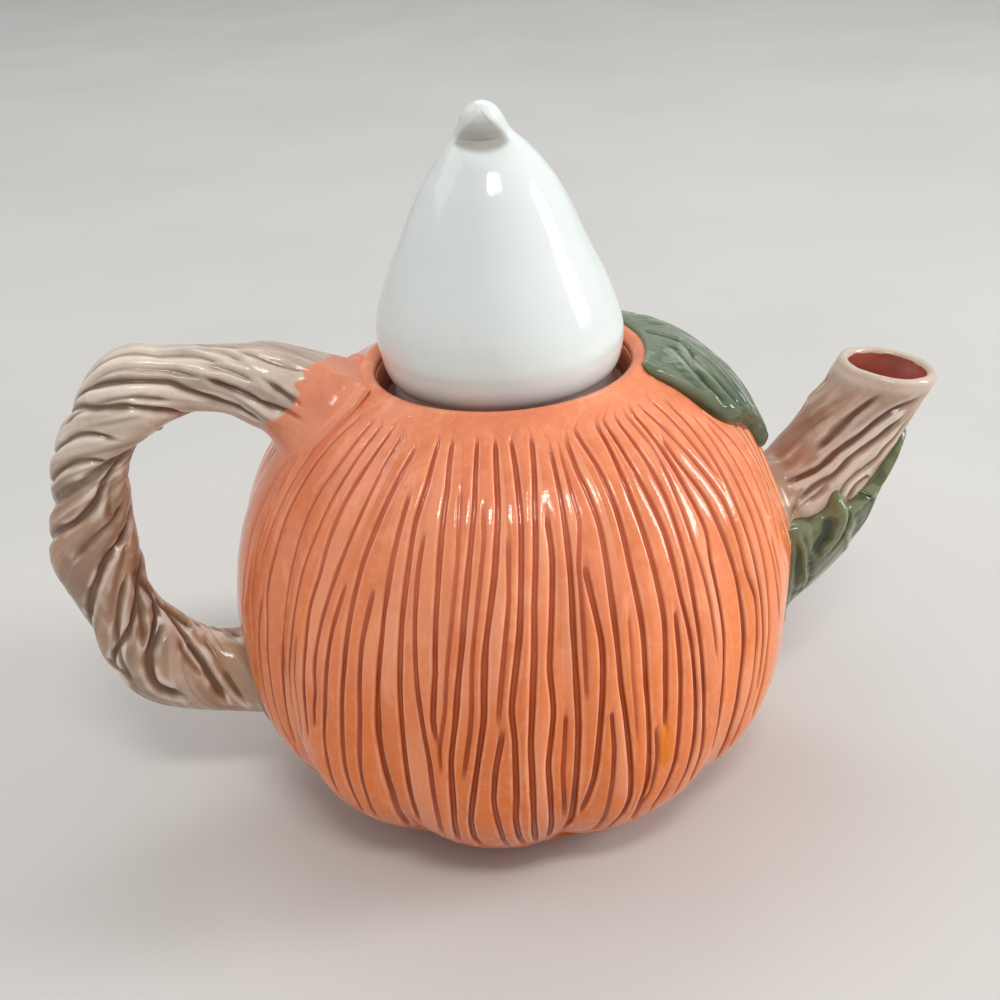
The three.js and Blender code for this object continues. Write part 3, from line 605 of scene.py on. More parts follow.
def groove_paths(s_rows, z_rows):
    """Azimuth (degrees) and strength of every groove at every row, in rising azimuth."""
    rows = len(z_rows)
    rng = np.random.RandomState(7)
    z_of = z_rows
    paths = []
    for rel, knots in GROOVES:
        zs = np.array([k[0] for k in knots], float)[::-1]
        az = np.array([k[1] for k in knots], float)[::-1]
        paths.append((rel, zs[0], zs[-1], zs, az))
    # the back of the pot: same carving, spacing and habits
    az = -21.5
    last = 360 + GROOVES[0][1][0][1] - 3.0
    n = 0
    while az < last:
        k = rng.rand()
        if k < 0.62:
            top, low = rng.uniform(113, 120), rng.uniform(14, 24)
        elif k < 0.8:
            top, low = rng.uniform(112, 119), rng.uniform(44, 70)
        else:
            top, low = rng.uniform(66, 98), rng.uniform(15, 30)
        zs = np.linspace(low, top, 12)
        bend = 1.25 * noise2(np.full(12, az), zs, 14, 26, 3) + 0.35 * noise2(np.full(12, az * 9.0), zs, 3, 12, 4)
        drift = 1.5 * (zs - 60) / 60 * math.sin(math.radians(az * 2 + 40))
        rel = float(np.clip(rng.normal(0.9, 0.2), 0.5, 1.1))
        paths.append((rel, low, top, zs, az + bend + drift))
        az += float(np.clip(rng.normal(3.95, 0.55), 2.9, 5.2))
        n += 1
    count = len(paths)
    G = np.full((count, rows), np.nan)
    R = np.zeros((count, rows))
    for g, (rel, low, top, zs, azs) in enumerate(paths):
        inside = (z_of >= low - 1.0) & (z_of <= top + 1.0)
        # carved strokes lead in and out over a few millimetres
        G[g, inside] = np.interp(z_of[inside], zs, azs)
        s_in = np.interp(z_of, z_rows, s_rows)
        s_low, s_top = np.interp([low, top], z_rows, s_rows)
        lead = np.minimum(smooth(-1.0, 4.5, s_in - s_low), smooth(-1.0, 2.4, s_top - s_in))
        R[g] = rel * lead * inside
    order = np.arange(count)
    even = np.empty_like(G)
    for j in range(rows):
        have = np.where(~np.isnan(G[:, j]))[0]
        if len(have) == 0:
            even[:, j] = np.linspace(-173, 187, count, endpoint=False)
            continue
        idx = np.concatenate([[have[-1] - count], have, [have[0] + count]])
        val = np.concatenate([[G[have[-1], j] - 360], G[have, j], [G[have[0], j] + 360]])
        even[:, j] = np.interp(order, idx, val)
    F = even.copy()
    for g in range(count):
        ok = np.where(~np.isnan(G[g]))[0]
        if len(ok) == 0:
            continue
        F[g, ok] = G[g, ok]
        for edge, rng_rows, step in ((ok[0], range(ok[0] - 1, -1, -1), -1), (ok[-1], range(ok[-1] + 1, rows), 1)):
            # what the even spacing would have given here, had this groove been absent
            off = G[g, edge] - mix(even[g, max(0, edge - 1)], even[g, min(rows - 1, edge + 1)], 0.5)
            nb = even[g, edge + step] if 0 <= edge + step < rows else even[g, edge]
            off = G[g, edge] - nb
            for j in rng_rows:
                d = abs(j - edge)
                F[g, j] = even[g, j] + off * math.exp(-((d / 7.0) ** 2))
    # smooth along each groove, then keep the order with a least distance
    kernel = np.array([0.15, 0.7, 0.15])
    for g in range(count):
        p = np.concatenate([[F[g, 0]], F[g], [F[g, -1]]])
        F[g] = np.convolve(p, kernel, "valid")
    gap = 0.34
    for _ in range(60):
        nxt = np.concatenate([F[1:], F[:1] + 360])
        short = gap - (nxt - F)
        short = np.where(short > 0, short, 0)
        if short.max() < 1e-3:
            break
        F = F - short * 0.5
        push = np.concatenate([short[-1:], short[:-1]])
        F = F + push * 0.5
    return F, R


def build_body():
    rows = BODY_ROWS
    total = PROFILE_S[-1]
    # crowd the last rows on the lip
    lip_s = PROFILE_S[-15]
    main = rows - 9
    s_rows = np.concatenate([lip_s * np.linspace(0, 1, main), np.linspace(lip_s, total, 10)[1:]])
    r_rows = np.interp(s_rows, PROFILE_S, PROFILE[:, 0])
    z_rows = np.interp(s_rows, PROFILE_S, PROFILE[:, 1])
    w_rows = np.interp(s_rows, PROFILE_S, PROFILE[:, 2])
    mono = np.maximum.accumulate(z_rows + 1e-4 * s_rows)
    F, R = groove_paths(s_rows, mono)
    count = len(F)

    # columns of each cell between two grooves
    cols_per = 12
    G = F.T  # rows x grooves
    Gn = np.concatenate([F[1:], F[:1] + 360]).T
    mm_per_deg = (r_rows * math.pi / 180)[:, None]
    D = (Gn - G) * mm_per_deg
    Rj = R.T
    Rn = np.roll(R, -1, 0).T
    ga = np.arange(count)[None, :]
    wid = GROOVE_HALF_W * (0.62 + 0.38 * smooth(30, 70, r_rows))[:, None] * (
        1 + 0.16 * noise2(ga * 3.1, s_rows[:, None], 1.0, 9.0, 11)
    )
    wn = np.roll(wid, -1, 1)
    steps = np.array([0.0, 0.42, 0.74, 1.0, 1.34, 2.0])
    left = steps[None, None, :] * wid[:, :, None]
    right = D[:, :, None] - (steps[None, None, 1:] * wn[:, :, None])[:, :, ::-1]
    # where a cell is narrow the columns close up in order
    lim = D[:, :, None] * np.array([0.0, 0.12, 0.22, 0.31, 0.38, 0.44])[None, None, :]
    left = np.minimum(left, lim)
    lim_r = D[:, :, None] * (1 - np.array([0.44, 0.38, 0.31, 0.22, 0.12])[None, None, :])
    right = np.maximum(right, lim_r)
    mid = 0.5 * (left[:, :, -1:] + right[:, :, :1])
    off = np.concatenate([left, mid, right], -1)
    cols_per = off.shape[-1]
    az = G[:, :, None] + off / mm_per_deg[:, :, None]
    az = az.reshape(rows, count * cols_per)
    cell = np.repeat(np.arange(count), cols_per)[None, :]
    n_cols = az.shape[1]
    th = np.radians(az)

    zz = z_rows[:, None] + 0 * az
    rr = r_rows[:, None] * (
        1 + w_rows[:, None] * (-lobe_depth(zz) * valley(th) + swell(th, zz))
    )
    # carved depth: the deepest of the grooves near each point
    depth = np.zeros_like(az)
    near = np.full_like(az, 9.0)
    for m in range(-3, 5):
        k = (cell + m) % count
        wrap = np.floor_divide(cell + m, count) * 360.0
        gk = np.take_along_axis(G, k + 0 * cell.repeat(rows, 0), 1) + wrap
        rk = np.take_along_axis(Rj, k.repeat(rows, 0), 1)
        wk = np.take_along_axis(wid, k.repeat(rows, 0), 1) * (0.72 + 0.28 * np.clip(rk, 0, 1))
        d = np.abs(az - gk) * (rr * math.pi / 180)
        q = d / wk
        cut = rk * (1 - smooth(0.38, 1.12, q))
        depth = np.maximum(depth, cut)
        near = np.minimum(near, np.where(rk > 0.05, (d - wk) + (1 - np.clip(rk, 0, 1)) * 2.0, 9.0))
    P0 = np.stack([axis_x(zz) + rr * np.cos(th), rr * np.sin(th), zz], -1)
    # carving stops short of what is luted on
    fade = np.ones_like(az)
    for cx, cz, half, soft in ((70.0, 57.0, 17.5, 4.0),):
        q = np.sqrt((P0[..., 1]) ** 2 + (P0[..., 2] - cz) ** 2)
        fade = np.where(P0[..., 0] > 40, fade * smooth(half, half + soft, q), fade)
    low_root = np.sqrt(P0[..., 1] ** 2 + (P0[..., 2] - 38.5) ** 2)
    fade = np.where(P0[..., 0] < -40, fade * smooth(12.0, 15.5, low_root), fade)
    high_root = np.sqrt((P0[..., 1] / 1.05) ** 2 + ((P0[..., 2] - 112) * 0.9) ** 2 + ((P0[..., 0] + 49) * 0.75) ** 2)
    fade = fade * smooth(9.0, 12.5, high_root)
    # the carving dies out on the shoulder and near the foot
    fade = fade * (1 - smooth(38.6, 35.8, rr) * (zz > 60)) * smooth(1.2, 9.0, zz)
    depth = depth * fade
    # soft unevenness of hand work
    ridge = noise2(cell * 1.0 + 0 * az, s_rows[:, None] + 0 * az, 1.0, 11.0, 21)
    uneven = 0.5 + 0.5 * noise3(P0.reshape(-1, 3), 9.0, 5).reshape(rows, n_cols)
    fine = 0.5 + 0.5 * noise3(P0.reshape(-1, 3) * np.array([1, 1, 0.55]), 2.6, 6).reshape(rows, n_cols)
    crown = 0.26 * np.exp(-np.maximum(near, 0) / 0.75) * fade
    body_w = w_rows[:, None] * smooth(0.5, 6, zz)
    disp = GROOVE_DEPTH * depth + body_w * (crown + 0.12 * (0.5 + 0.5 * ridge) + 0.12 * uneven + 0.08 * fine)
    # normals of the plain profile
    dr = np.gradient(r_rows, s_rows)
    dz = np.gradient(z_rows, s_rows)
    ln = np.hypot(dr, dz)
    nr, nz = (dz / ln)[:, None], (-dr / ln)[:, None]
    P = P0.copy()
    P[..., 0] -= disp * nr * np.cos(th)
    P[..., 1] -= disp * nr * np.sin(th)
    P[..., 2] -= disp * nz
    P[..., 2] = np.maximum(P[..., 2], 0.0)

    verts = [P.reshape(-1, 3)]
    quads = [grid_faces(rows, n_cols)]
    tris = []
    groove = [depth.ravel()]
    # pale lines along the groove edges: thin glaze and a painted highlight
    pale_edge_and_highlight = np.exp(-(((near - 0.22) / 0.26) ** 2)) * fade * (depth < 0.5)
    pale_edges_and_highlights = [pale_edge_and_highlight.ravel()]
    tone_cell = 0.5 + 0.5 * noise2(cell * 1.0 + 0 * az, s_rows[:, None] + 0 * az, 0.8, 34.0, 31)
    tone = [tone_cell.ravel()]
    inner_flag = [np.zeros(rows * n_cols)]
    base = rows * n_cols

    # inside wall, floor and the hollow of the foot, with fewer columns
    m_cols = 144
    ang = 2 * np.pi * np.arange(m_cols) / m_cols

    def ring(r, z, cx):
        return np.stack([cx + r * np.cos(ang), r * np.sin(ang), np.full(m_cols, z)], -1)

    inner = [(32.4, 119.92), (32.8, 119.82), (33.8, 119.8), (33.85, 118.6), (33.8, 117.2), (34.6, 116.7)]
    env_z = np.linspace(1.2, 122, 240)
    env = profile_r(env_z) * (1 - lobe_depth(env_z))
    slope = np.gradient(env, env_z)
    lean = np.sqrt(1 + slope * slope)
    off_r, off_z = env - 5.3 / lean, env_z + 5.3 * slope / lean
    keep = np.concatenate([[True], np.diff(np.maximum.accumulate(off_z)) > 0])
    off_r, off_z = off_r[keep], off_z[keep]
    for k in range(1, 40):
        z = mix(6.5, 116.6, (1 + math.cos(math.pi * k / 40)) / 2)
        inner.append((float(np.interp(z, off_z, off_r)), z))
    r_low = inner[-1][0]
    inner += [(r_low - 1.6, 6.55), (r_low - 5, 6.5), (r_low * 0.55, 6.5), (r_low * 0.25, 6.5)]
    I = np.stack([ring(r, z, float(axis_x(z))) for r, z in inner])
    wob = 0.12 * noise3(I.reshape(-1, 3), 12.0, 9).reshape(I.shape[:2])
    I[4:-4, :, 0] += (wob * np.cos(ang))[4:-4]
    I[4:-4, :, 1] += (wob * np.sin(ang))[4:-4]
    verts.append(I.reshape(-1, 3))
    quads.append(grid_faces(len(inner), m_cols, start=base))
    n_in = len(inner) * m_cols
    verts.append(np.array([[0, 0, 6.5]]))
    tris.append(fan(base + (len(inner) - 1) * m_cols + np.arange(m_cols), base + n_in))
    top_ids = (rows - 1) * n_cols + np.arange(n_cols)
    start = int(np.argmin(np.mod(az[-1], 360)))
    top_ids = np.roll(top_ids, -start)
    a_top = np.radians(np.mod(np.roll(az[-1], -start), 360))
    tris.append(zip_rings(top_ids, a_top, base + np.arange(m_cols), ang))
    base2 = base + n_in + 1
    foot = [(29.5, 0.0), (26.2, 0.0), (25.6, 0.25), (25.0, 0.8), (23.6, 1.7), (22.0, 2.15), (18.0, 2.2), (9.0, 2.2)]
    Fr = np.stack([ring(r, z, 0.0) for r, z in foot])
    verts.append(Fr.reshape(-1, 3))
    quads.append(grid_faces(len(foot), m_cols, start=base2)[:, ::-1])
    n_f = len(foot) * m_cols
    verts.append(np.array([[0, 0, 2.2]]))
    tris.append(fan(base2 + (len(foot) - 1) * m_cols + np.arange(m_cols), base2 + n_f, flip=True))
    low_ids = np.arange(n_cols)
    start = int(np.argmin(np.mod(az[0], 360)))
    low_ids = np.roll(low_ids, -start)
    a_low = np.radians(np.mod(np.roll(az[0], -start), 360))
    tris.append(zip_rings(low_ids, a_low, base2 + np.arange(m_cols), ang, flip=True))
    extra = n_in + 1 + n_f + 1
    for lst, val in ((groove, 0.0), (pale_edges_and_highlights, 0.0), (tone, 0.5)):
        lst.append(np.full(extra, val))
    foot_flag = np.concatenate([np.ones(n_in + 1), np.full(n_f + 1, 2.0)])
    inner_flag.append(foot_flag)
    ob = make_mesh(
        "pumpkin_body",
        np.concatenate(verts),
        [np.concatenate(quads), np.concatenate(tris)],
        {
            "groove": np.concatenate(groove),
            "edge": np.concatenate(pale_edges_and_highlights),
            "tone": np.concatenate(tone),
            "zone": np.concatenate(inner_flag),
        },
    )
    return ob

# ---------------------------------------------------------------- vines: handle and spout
# centre line: x, z, radius (mm), lean of the strands against the line (degrees)
HANDLE_LINE = [
    (-34.0, 109.0, 11.5, 18), (-43.0, 115.0, 12.2, 18), (-51.5, 119.4, 11.8, 20), (-59.4, 123.1, 11.0, 20),
    (-66.1, 125.3, 9.55, 18), (-73.5, 126.15, 9.05, 16), (-81.1, 126.1, 9.8, 18), (-89.0, 125.0, 11.5, 26),
    (-95.2, 120.2, 10.9, 40), (-100.3, 114.2, 9.9, 52), (-104.0, 106.7, 10.0, 54), (-105.8, 98.7, 10.4, 50),
    (-107.1, 90.8, 11.0, 46), (-107.8, 83.5, 11.6, 44), (-106.8, 76.6, 11.1, 42), (-105.6, 69.4, 10.5, 38),
    (-103.9, 62.0, 10.6, 36), (-101.0, 54.0, 12.2, 38), (-95.8, 47.0, 12.9, 46), (-88.4, 42.6, 12.1, 52),
    (-80.4, 40.4, 11.9, 54), (-72.4, 39.2, 12.6, 54), (-62.0, 38.0, 13.5, 54),
]
SPOUT_LINE = [
    (56.0, 50.0, 19.5, 18), (66.0, 57.3, 18.2, 18), (75.7, 64.2, 16.4, 20), (83.3, 71.9, 14.9, 20),
    (89.5, 80.2, 14.1, 20), (95.1, 88.6, 13.9, 18), (100.8, 97.0, 13.8, 14), (105.5, 104.7, 13.4, 8),
]
SPOUT_TIP_TILT = math.radians(9.5)


class Vine:
    """A round vine along a line in the plane y = 0. phi = 0 faces the pot, 90 degrees faces -Y."""

    def __init__(self, points, steps=900):
        p = np.array(points, float)
        n = len(p)
        ext = np.vstack([2 * p[0] - p[1], p, 2 * p[-1] - p[-2]])
        t = np.linspace(0, n - 1, steps)
        i = np.minimum(t.astype(int), n - 2)
        w = t - i
        P = [ext[i + k][:, :2] for k in range(4)]
        dt = [np.maximum(1e-6, np.linalg.norm(P[k + 1] - P[k], axis=1) ** 0.5)[:, None] for k in range(3)]
        t1 = ((P[1] - P[0]) / dt[0] - (P[2] - P[0]) / (dt[0] + dt[1]) + (P[2] - P[1]) / dt[1]) * dt[1]
        t2 = ((P[2] - P[1]) / dt[1] - (P[3] - P[1]) / (dt[1] + dt[2]) + (P[3] - P[2]) / dt[2]) * dt[1]
        a, b = P[1], t1
        c = -3 * P[1] + 3 * P[2] - 2 * t1 - t2
        d = 2 * P[1] - 2 * P[2] + t1 + t2
        w_ = w[:, None]
        C = a + b * w_ + c * w_**2 + d * w_**3
        T = b + 2 * c * w_ + 3 * d * w_**2
        T /= np.linalg.norm(T, axis=1, keepdims=True)
        rad = np.concatenate([[p[0, 2]], p[:, 2], [p[-1, 2]]])
        r0, r1, r2, r3 = (rad[i + k] for k in range(4))
        r = 0.5 * (2 * r1 + (r2 - r0) * w + (2 * r0 - 5 * r1 + 4 * r2 - r3) * w**2 + (3 * r1 - r0 - 3 * r2 + r3) * w**3)
        lean = np.radians(np.interp(t, np.arange(n), p[:, 3]))
        seg = np.linalg.norm(np.diff(C, axis=0), axis=1)
        self.t = t / (n - 1)
        self.s = np.concatenate([[0], np.cumsum(seg)])
        self.length = float(self.s[-1])
        self.C, self.T, self.r = C, T, r
        rate = np.tan(lean) / r
        self.turn = np.concatenate([[0], np.cumsum(0.5 * (rate[1:] + rate[:-1]) * seg)])

    def at(self, s):
        f = lambda a: np.interp(s, self.s, a)
        x, z = f(self.C[:, 0]), f(self.C[:, 1])
        dx, dz = f(self.T[:, 0]), f(self.T[:, 1])
        ln = np.hypot(dx, dz)
        return x, z, dx / ln, dz / ln, f(self.r), f(self.turn), f(self.t)

    def normal_axis(self, s, tilt=None):
        """In-plane direction of phi = 0; tilt turns the last rings to the slant of an open end."""
        x, z, dx, dz, r, turn, t = self.at(s)
        ux, uz = -dz, dx
        if tilt is not None:
            w = smooth(0.6, 1.0, t)
            ux, uz = mix(ux, -math.cos(tilt), w), mix(uz, math.sin(tilt), w)
            ln = np.hypot(ux, uz)
            ux, uz = ux / ln, uz / ln
        return x, z, ux, uz, r

    def point(self, s, phi, radius=None, tilt=None):
        x, z, ux, uz, r = self.normal_axis(s, tilt)
        if radius is not None:
            r = radius
        c = r * np.cos(phi)
        return np.stack([x + c * ux, -r * np.sin(phi), z + c * uz], -1)

# Creases modelled into the vines: depth, half width (mm), then points (mm along the vine, phi degrees).
HANDLE_CREASES = [
    (1.00, 1.0, [(63.5, 151), (59.0, 127), (56.9, 121), (49.9, 111), (47.3, 96), (43.0, 79), (38.0, 63), (32.2, 57), (29.4, 54)]),
    (1.10, 1.1, [(69.9, 160), (66.3, 126), (62.3, 103), (57.5, 81), (51.6, 57), (49.1, 31)]),
    (0.70, 0.8, [(63.6, 120), (60.5, 108), (56.5, 96), (52.7, 86)]),
    (1.10, 1.0, [(40.0, 104), (36.2, 93), (32.2, 87), (26.9, 81), (21.5, 82), (19.2, 80)]),
    (0.90, 0.9, [(26.8, 111), (23.3, 104), (20.5, 99)]),
    (0.60, 1.0, [(59.0, 145), (55.7, 136), (51.6, 133), (48.3, 127), (45.0, 117)]),
    (0.60, 1.1, [(58.3, 169), (54.7, 162), (50.7, 157), (46.8, 156), (42.5, 149), (39.5, 138)]),
    (0.55, 1.1, [(42.0, 168), (38.3, 159), (35.0, 141)]),
    (0.60, 1.2, [(40.5, 131), (37.2, 124), (32.6, 113)]),
    (0.60, 1.1, [(34.4, 157), (30.7, 147), (26.4, 141), (21.8, 141)]),
    (0.50, 1.2, [(42.5, -176), (38.3, 176), (35.2, 169)]),
    (0.95, 0.9, [(77.7, 149), (74.5, 131), (71.6, 109), (70.3, 95), (69.8, 81)]),
    (0.90, 0.9, [(85.0, 150), (81.2, 124), (79.2, 108), (77.4, 84), (77.7, 64)]),
    (1.30, 1.7, [(89.3, 138), (86.4, 113), (84.5, 94), (81.7, 78), (79.3, 64), (75.4, 39)]),
    (1.15, 1.2, [(98.8, 141), (96.5, 118), (94.2, 99), (91.2, 83), (88.8, 71), (85.3, 64), (82.2, 56)]),
    (0.80, 1.0, [(102.6, 99), (100.2, 86), (97.4, 67), (95.4, 49), (92.6, 33)]),
    (1.30, 1.3, [(120.0, 128), (114.4, 104), (110.9, 85), (106.4, 68), (103.5, 54), (102.3, 42)]),
    (0.60, 1.4, [(123.0, 93), (118.4, 78), (113.7, 63), (108.9, 43), (105.0, 36)]),
    (1.15, 1.0, [(133.6, 123), (130.7, 100), (128.8, 80), (126.3, 65), (123.1, 48)]),
    (1.35, 1.5, [(150.4, 105), (147.6, 106), (144.1, 102), (140.3, 88), (137.2, 74), (134.4, 53), (131.7, 32), (128.6, 15)]),
    (1.15, 1.2, [(136.7, 12), (144.0, 24), (150.7, 37), (154.9, 51), (158.7, 74), (161.3, 99)]),
    (0.60, 1.1, [(142.6, 39), (150.1, 52), (153.9, 63)]),
    (0.90, 1.0, [(161.8, 62), (163.8, 80), (166.1, 99)]),
    (0.90, 1.6, [(114.5, 27), (121.7, 18), (127.6, 4), (135.9, -2), (144.1, 3)]),
    (0.50, 1.4, [(83.0, 46), (87.4, 51), (92.1, 56), (95.4, 49)]),
    (0.90, 1.0, [(134.9, 141), (137.2, 131), (140.5, 126)]),
    (0.60, 1.2, [(152.7, 20), (157.5, 29), (160.7, 49), (161.8, 61)]),
    (0.50, 1.3, [(127.8, 72), (124.6, 55), (120.7, 41)]),
]
SPOUT_CREASES = [
    (1.10, 0.9, [(37.7, 44), (40.2, 49), (43.3, 57), (46.7, 61), (50.1, 63), (53.7, 69), (56.8, 75), (61.4, 80), (64.5, 85), (67.5, 92), (69.4, 104), (70.7, 116)]),
    (1.00, 0.9, [(35.2, 63), (38.4, 65), (41.5, 70), (44.0, 77), (46.7, 79), (51.0, 81), (54.1, 87), (56.9, 93), (59.6, 99), (63.0, 104)]),
    (0.70, 1.2, [(56.9, 92), (59.0, 99), (61.4, 104)]),
    (1.00, 1.1, [(50.1, 45), (53.3, 48), (57.7, 51), (62.4, 53), (65.9, 57), (69.4, 62), (72.2, 67), (73.9, 69)]),
    (0.50, 1.2, [(51.4, 20), (54.8, 24), (57.9, 29)]),
    (0.80, 0.7, [(41.8, 97), (44.6, 96), (48.0, 101), (50.8, 109), (53.9, 117), (57.6, 117), (59.7, 125), (62.5, 125)]),
    (0.60, 0.6, [(41.9, 112), (45.2, 109), (47.9, 119), (50.5, 144)]),
    (0.45, 1.6, [(38.5, 6), (42.0, 11), (45.9, 15), (50.2, 17), (53.7, 21)]),
    (0.40, 1.8, [(38.9, 24), (41.5, 30), (44.0, 29)]),
    (0.45, 0.7, [(30.3, 65), (33.1, 60), (34.8, 59)]),
    (0.70, 0.8, [(35.5, 71), (37.3, 73), (39.9, 77), (43.1, 75)]),
    (0.35, 2.2, [(59.7, -2), (66.1, -2), (71.8, -4)]),
]


def inside_body(P):
    """Depth in mm under the outside of the pot, taken as filled up to its rim."""
    cx = axis_x(P[..., 2])
    dx, dy = P[..., 0] - cx, P[..., 1]
    th, rho = np.arctan2(dy, dx), np.hypot(dx, dy)
    z = np.clip(P[..., 2], 0.6, 122.4)
    r = profile_r(z) * (1 - lobe_depth(z) * valley(th)) * (1 + swell(th, z))
    steep = np.abs(profile_r(z + 0.4) - profile_r(z - 0.4)) / 0.8
    return np.minimum((r - rho) / np.sqrt(1 + steep * steep), 122.4 - P[..., 2])


def spread(path, step=0.9):
    """Even, softened points along a crease; phi unwrapped."""
    p = np.array(path, float)
    p[:, 1] = np.degrees(np.unwrap(np.radians(p[:, 1])))
    q = p * np.array([1.0, 0.18])
    d = np.concatenate([[0], np.cumsum(np.linalg.norm(np.diff(q, axis=0), axis=1))])
    n = max(5, int(d[-1] / step) + 1)
    t = np.linspace(0, d[-1], n)
    out = np.stack([np.interp(t, d, p[:, 0]), np.interp(t, d, p[:, 1])], -1)
    for _ in range(3):
        mid = 0.25 * out[:-2] + 0.5 * out[1:-1] + 0.25 * out[2:]
        out[1:-1] = mid
    return out


def tails(p, reach=3.6, step=0.9):
    """Carries a crease on at both ends in its own direction, where it runs out."""
    for _ in range(2):
        v = (p[-1] - p[-3]) * np.array([1.0, 0.18])
        v = v / (np.linalg.norm(v) + 1e-9) * step / np.array([1.0, 0.18])
        more = p[-1] + v * np.arange(1, int(reach / step) + 1)[:, None]
        p = np.concatenate([p, more])[::-1]
    return p


def lengthen(path, phi_step, count, flow, at_end=True):
    """Carries a crease on past the end of what is drawn, bending towards the strands' own lean."""
    p = [tuple(q) for q in path]
    if not at_end:
        p = p[::-1]
    (s0, f0), (s1, f1) = p[-2], p[-1]
    sign = 1 if f1 >= f0 else -1
    slope = abs((s1 - s0) / max(1e-6, abs(f1 - f0)))
    for k in range(count):
        want = 1 / max(0.3, math.degrees(flow(s1)))
        slope = mix(slope, want, 0.3)
        f1 = f1 + sign * phi_step
        s1 = s1 + sign * slope * phi_step
        p.append((s1, f1))
    return p if at_end else p[::-1]


def carve_vine(S, PHI, RAD, creases, seed):
    """Depth of the creases, sharp and soft parts, on a grid of points (S mm along, PHI radians)."""
    sharp = np.zeros(S.shape)
    soft = np.zeros(S.shape)
    rng = np.random.RandomState(seed)
    for depth, half, pts in creases:
        p = tails(spread(pts))
        phase = rng.rand() * 100
        length = np.concatenate([[0], np.cumsum(np.hypot(np.diff(p[:, 0]), 0.18 * np.diff(p[:, 1])))])
        rows = (S[:, 0] > p[:, 0].min() - 6) & (S[:, 0] < p[:, 0].max() + 6)
        if not rows.any():
            continue
        s, r = S[rows], RAD[rows]
        ph = PHI[rows]
        mid = math.radians(0.5 * (p[:, 1].min() + p[:, 1].max()))
        ph = ph - 2 * np.pi * np.round((ph - mid) / (2 * np.pi))
        best = np.full(s.shape, 1e3)
        along = np.zeros(s.shape)
        side = np.ones(s.shape)
        lo, hi = math.radians(p[:, 1].min()), math.radians(p[:, 1].max())
        close = (ph > lo - 8 / r) & (ph < hi + 8 / r)
        idx = np.where(close)
        s_c, r_c, p_c = s[idx], r[idx], ph[idx]
        b, al, sd = best[idx], along[idx], side[idx]
        rads = np.radians(p[:, 1])
        for k in range(len(p) - 1):
            ax, bx = p[k, 0], p[k + 1, 0]
            ay, by = rads[k] * r_c, rads[k + 1] * r_c
            px, py = s_c, p_c * r_c
            vx, vy = bx - ax, by - ay
            ll = vx * vx + vy * vy + 1e-9
            t = np.clip(((px - ax) * vx + (py - ay) * vy) / ll, 0, 1)
            qx, qy = px - ax - t * vx, py - ay - t * vy
            d = np.hypot(qx, qy)
            better = d < b
            b = np.where(better, d, b)
            al = np.where(better, length[k] + t * (length[k + 1] - length[k]), al)
            sd = np.where(better, np.sign(vx * qy - vy * qx), sd)
        total = length[-1]
        ends = np.minimum(smooth(-0.6, min(5.0, total * 0.4), al), smooth(-0.6, min(5.0, total * 0.4), total - al))
        wav = 1 + 0.25 * noise1(al + phase, 3.2, seed + 3)
        w = half * wav * (0.45 + 0.55 * ends)
        q = b / w
        cut = depth * ends * np.exp(-(q**2.2))
        # one side of a crease is a rolled edge, the other slopes away
        fall = np.where(sd > 0, 2.6, 4.4) * half
        bed = depth * ends * np.exp(-((b / fall) ** 1.5))
        view = sharp[rows]
        view[idx] = np.maximum(view[idx], cut)
        sharp[rows] = view
        view = soft[rows]
        view[idx] = (view[idx] ** 3 + bed**3) ** (1 / 3)
        soft[rows] = view
    return sharp, soft


def extra_creases(vine, start, stop, given, want, seed, hidden):
    """More creases of the same kind where hidden(s, phi in degrees) holds, clear of those given."""
    rng = np.random.RandomState(seed)
    known = [spread(p) for _, _, p in given]
    out = []
    tries = 0
    while len(out) < want and tries < 4000:
        tries += 1
        s0 = rng.uniform(start, stop)
        f0 = rng.uniform(0, 360)
        span = rng.uniform(10, 30)
        n = max(4, int(span / 2.5))
        pts, s, f = [], s0, f0
        wob = rng.uniform(-0.25, 0.25)
        for k in range(n):
            pts.append((s, f + 7 * float(noise1(np.array(s + f0), 7.0, seed + 5))))
            lean = float(np.interp(s, vine.s, np.gradient(vine.turn, vine.s)))
            s += 2.5
            f += math.degrees(lean) * 2.5 * (0.85 + wob)
            if s > stop:
                break
        if len(pts) < 4:
            continue
        q = np.array(pts)
        if not all(hidden(a, b % 360) for a, b in pts):
            continue
        r = np.interp(q[:, 0], vine.s, vine.r)
        ok = True
        for other in known + [spread(p) for _, _, p in out]:
            df = q[:, None, 1] - other[None, :, 1]
            df = (df + 180) % 360 - 180
            d = np.hypot(q[:, None, 0] - other[None, :, 0], np.radians(df) * r[:, None])
            if (d.min(1) < 2.6).mean() > 0.12:
                ok = False
                break
        if ok:
            out.append((float(rng.uniform(0.5, 1.2)), float(rng.uniform(0.8, 1.35)), pts))
    return out


def blur(a, n_row, n_col):
    """Box blur twice over a grid that wraps in its columns."""
    for _ in range(2):
        if n_row:
            pad = np.concatenate([np.repeat(a[:1], n_row, 0), a, np.repeat(a[-1:], n_row, 0)])
            c = np.cumsum(np.concatenate([np.zeros((1, a.shape[1])), pad]), 0)
            a = (c[2 * n_row + 1 :] - c[: -2 * n_row - 1]) / (2 * n_row + 1)
        if n_col:
            pad = np.concatenate([a[:, -n_col:], a, a[:, :n_col]], 1)
            c = np.cumsum(np.concatenate([np.zeros((a.shape[0], 1)), pad], 1), 1)
            a = (c[:, 2 * n_col + 1 :] - c[:, : -2 * n_col - 1]) / (2 * n_col + 1)
    return a


def flare(depth, size):
    """How far a root spreads over the pot's surface, for a point this deep under it."""
    t = np.clip((size + depth) / size, 0, 1)
    return size * (1 - np.sqrt(np.maximum(0, 1 - t * t)))


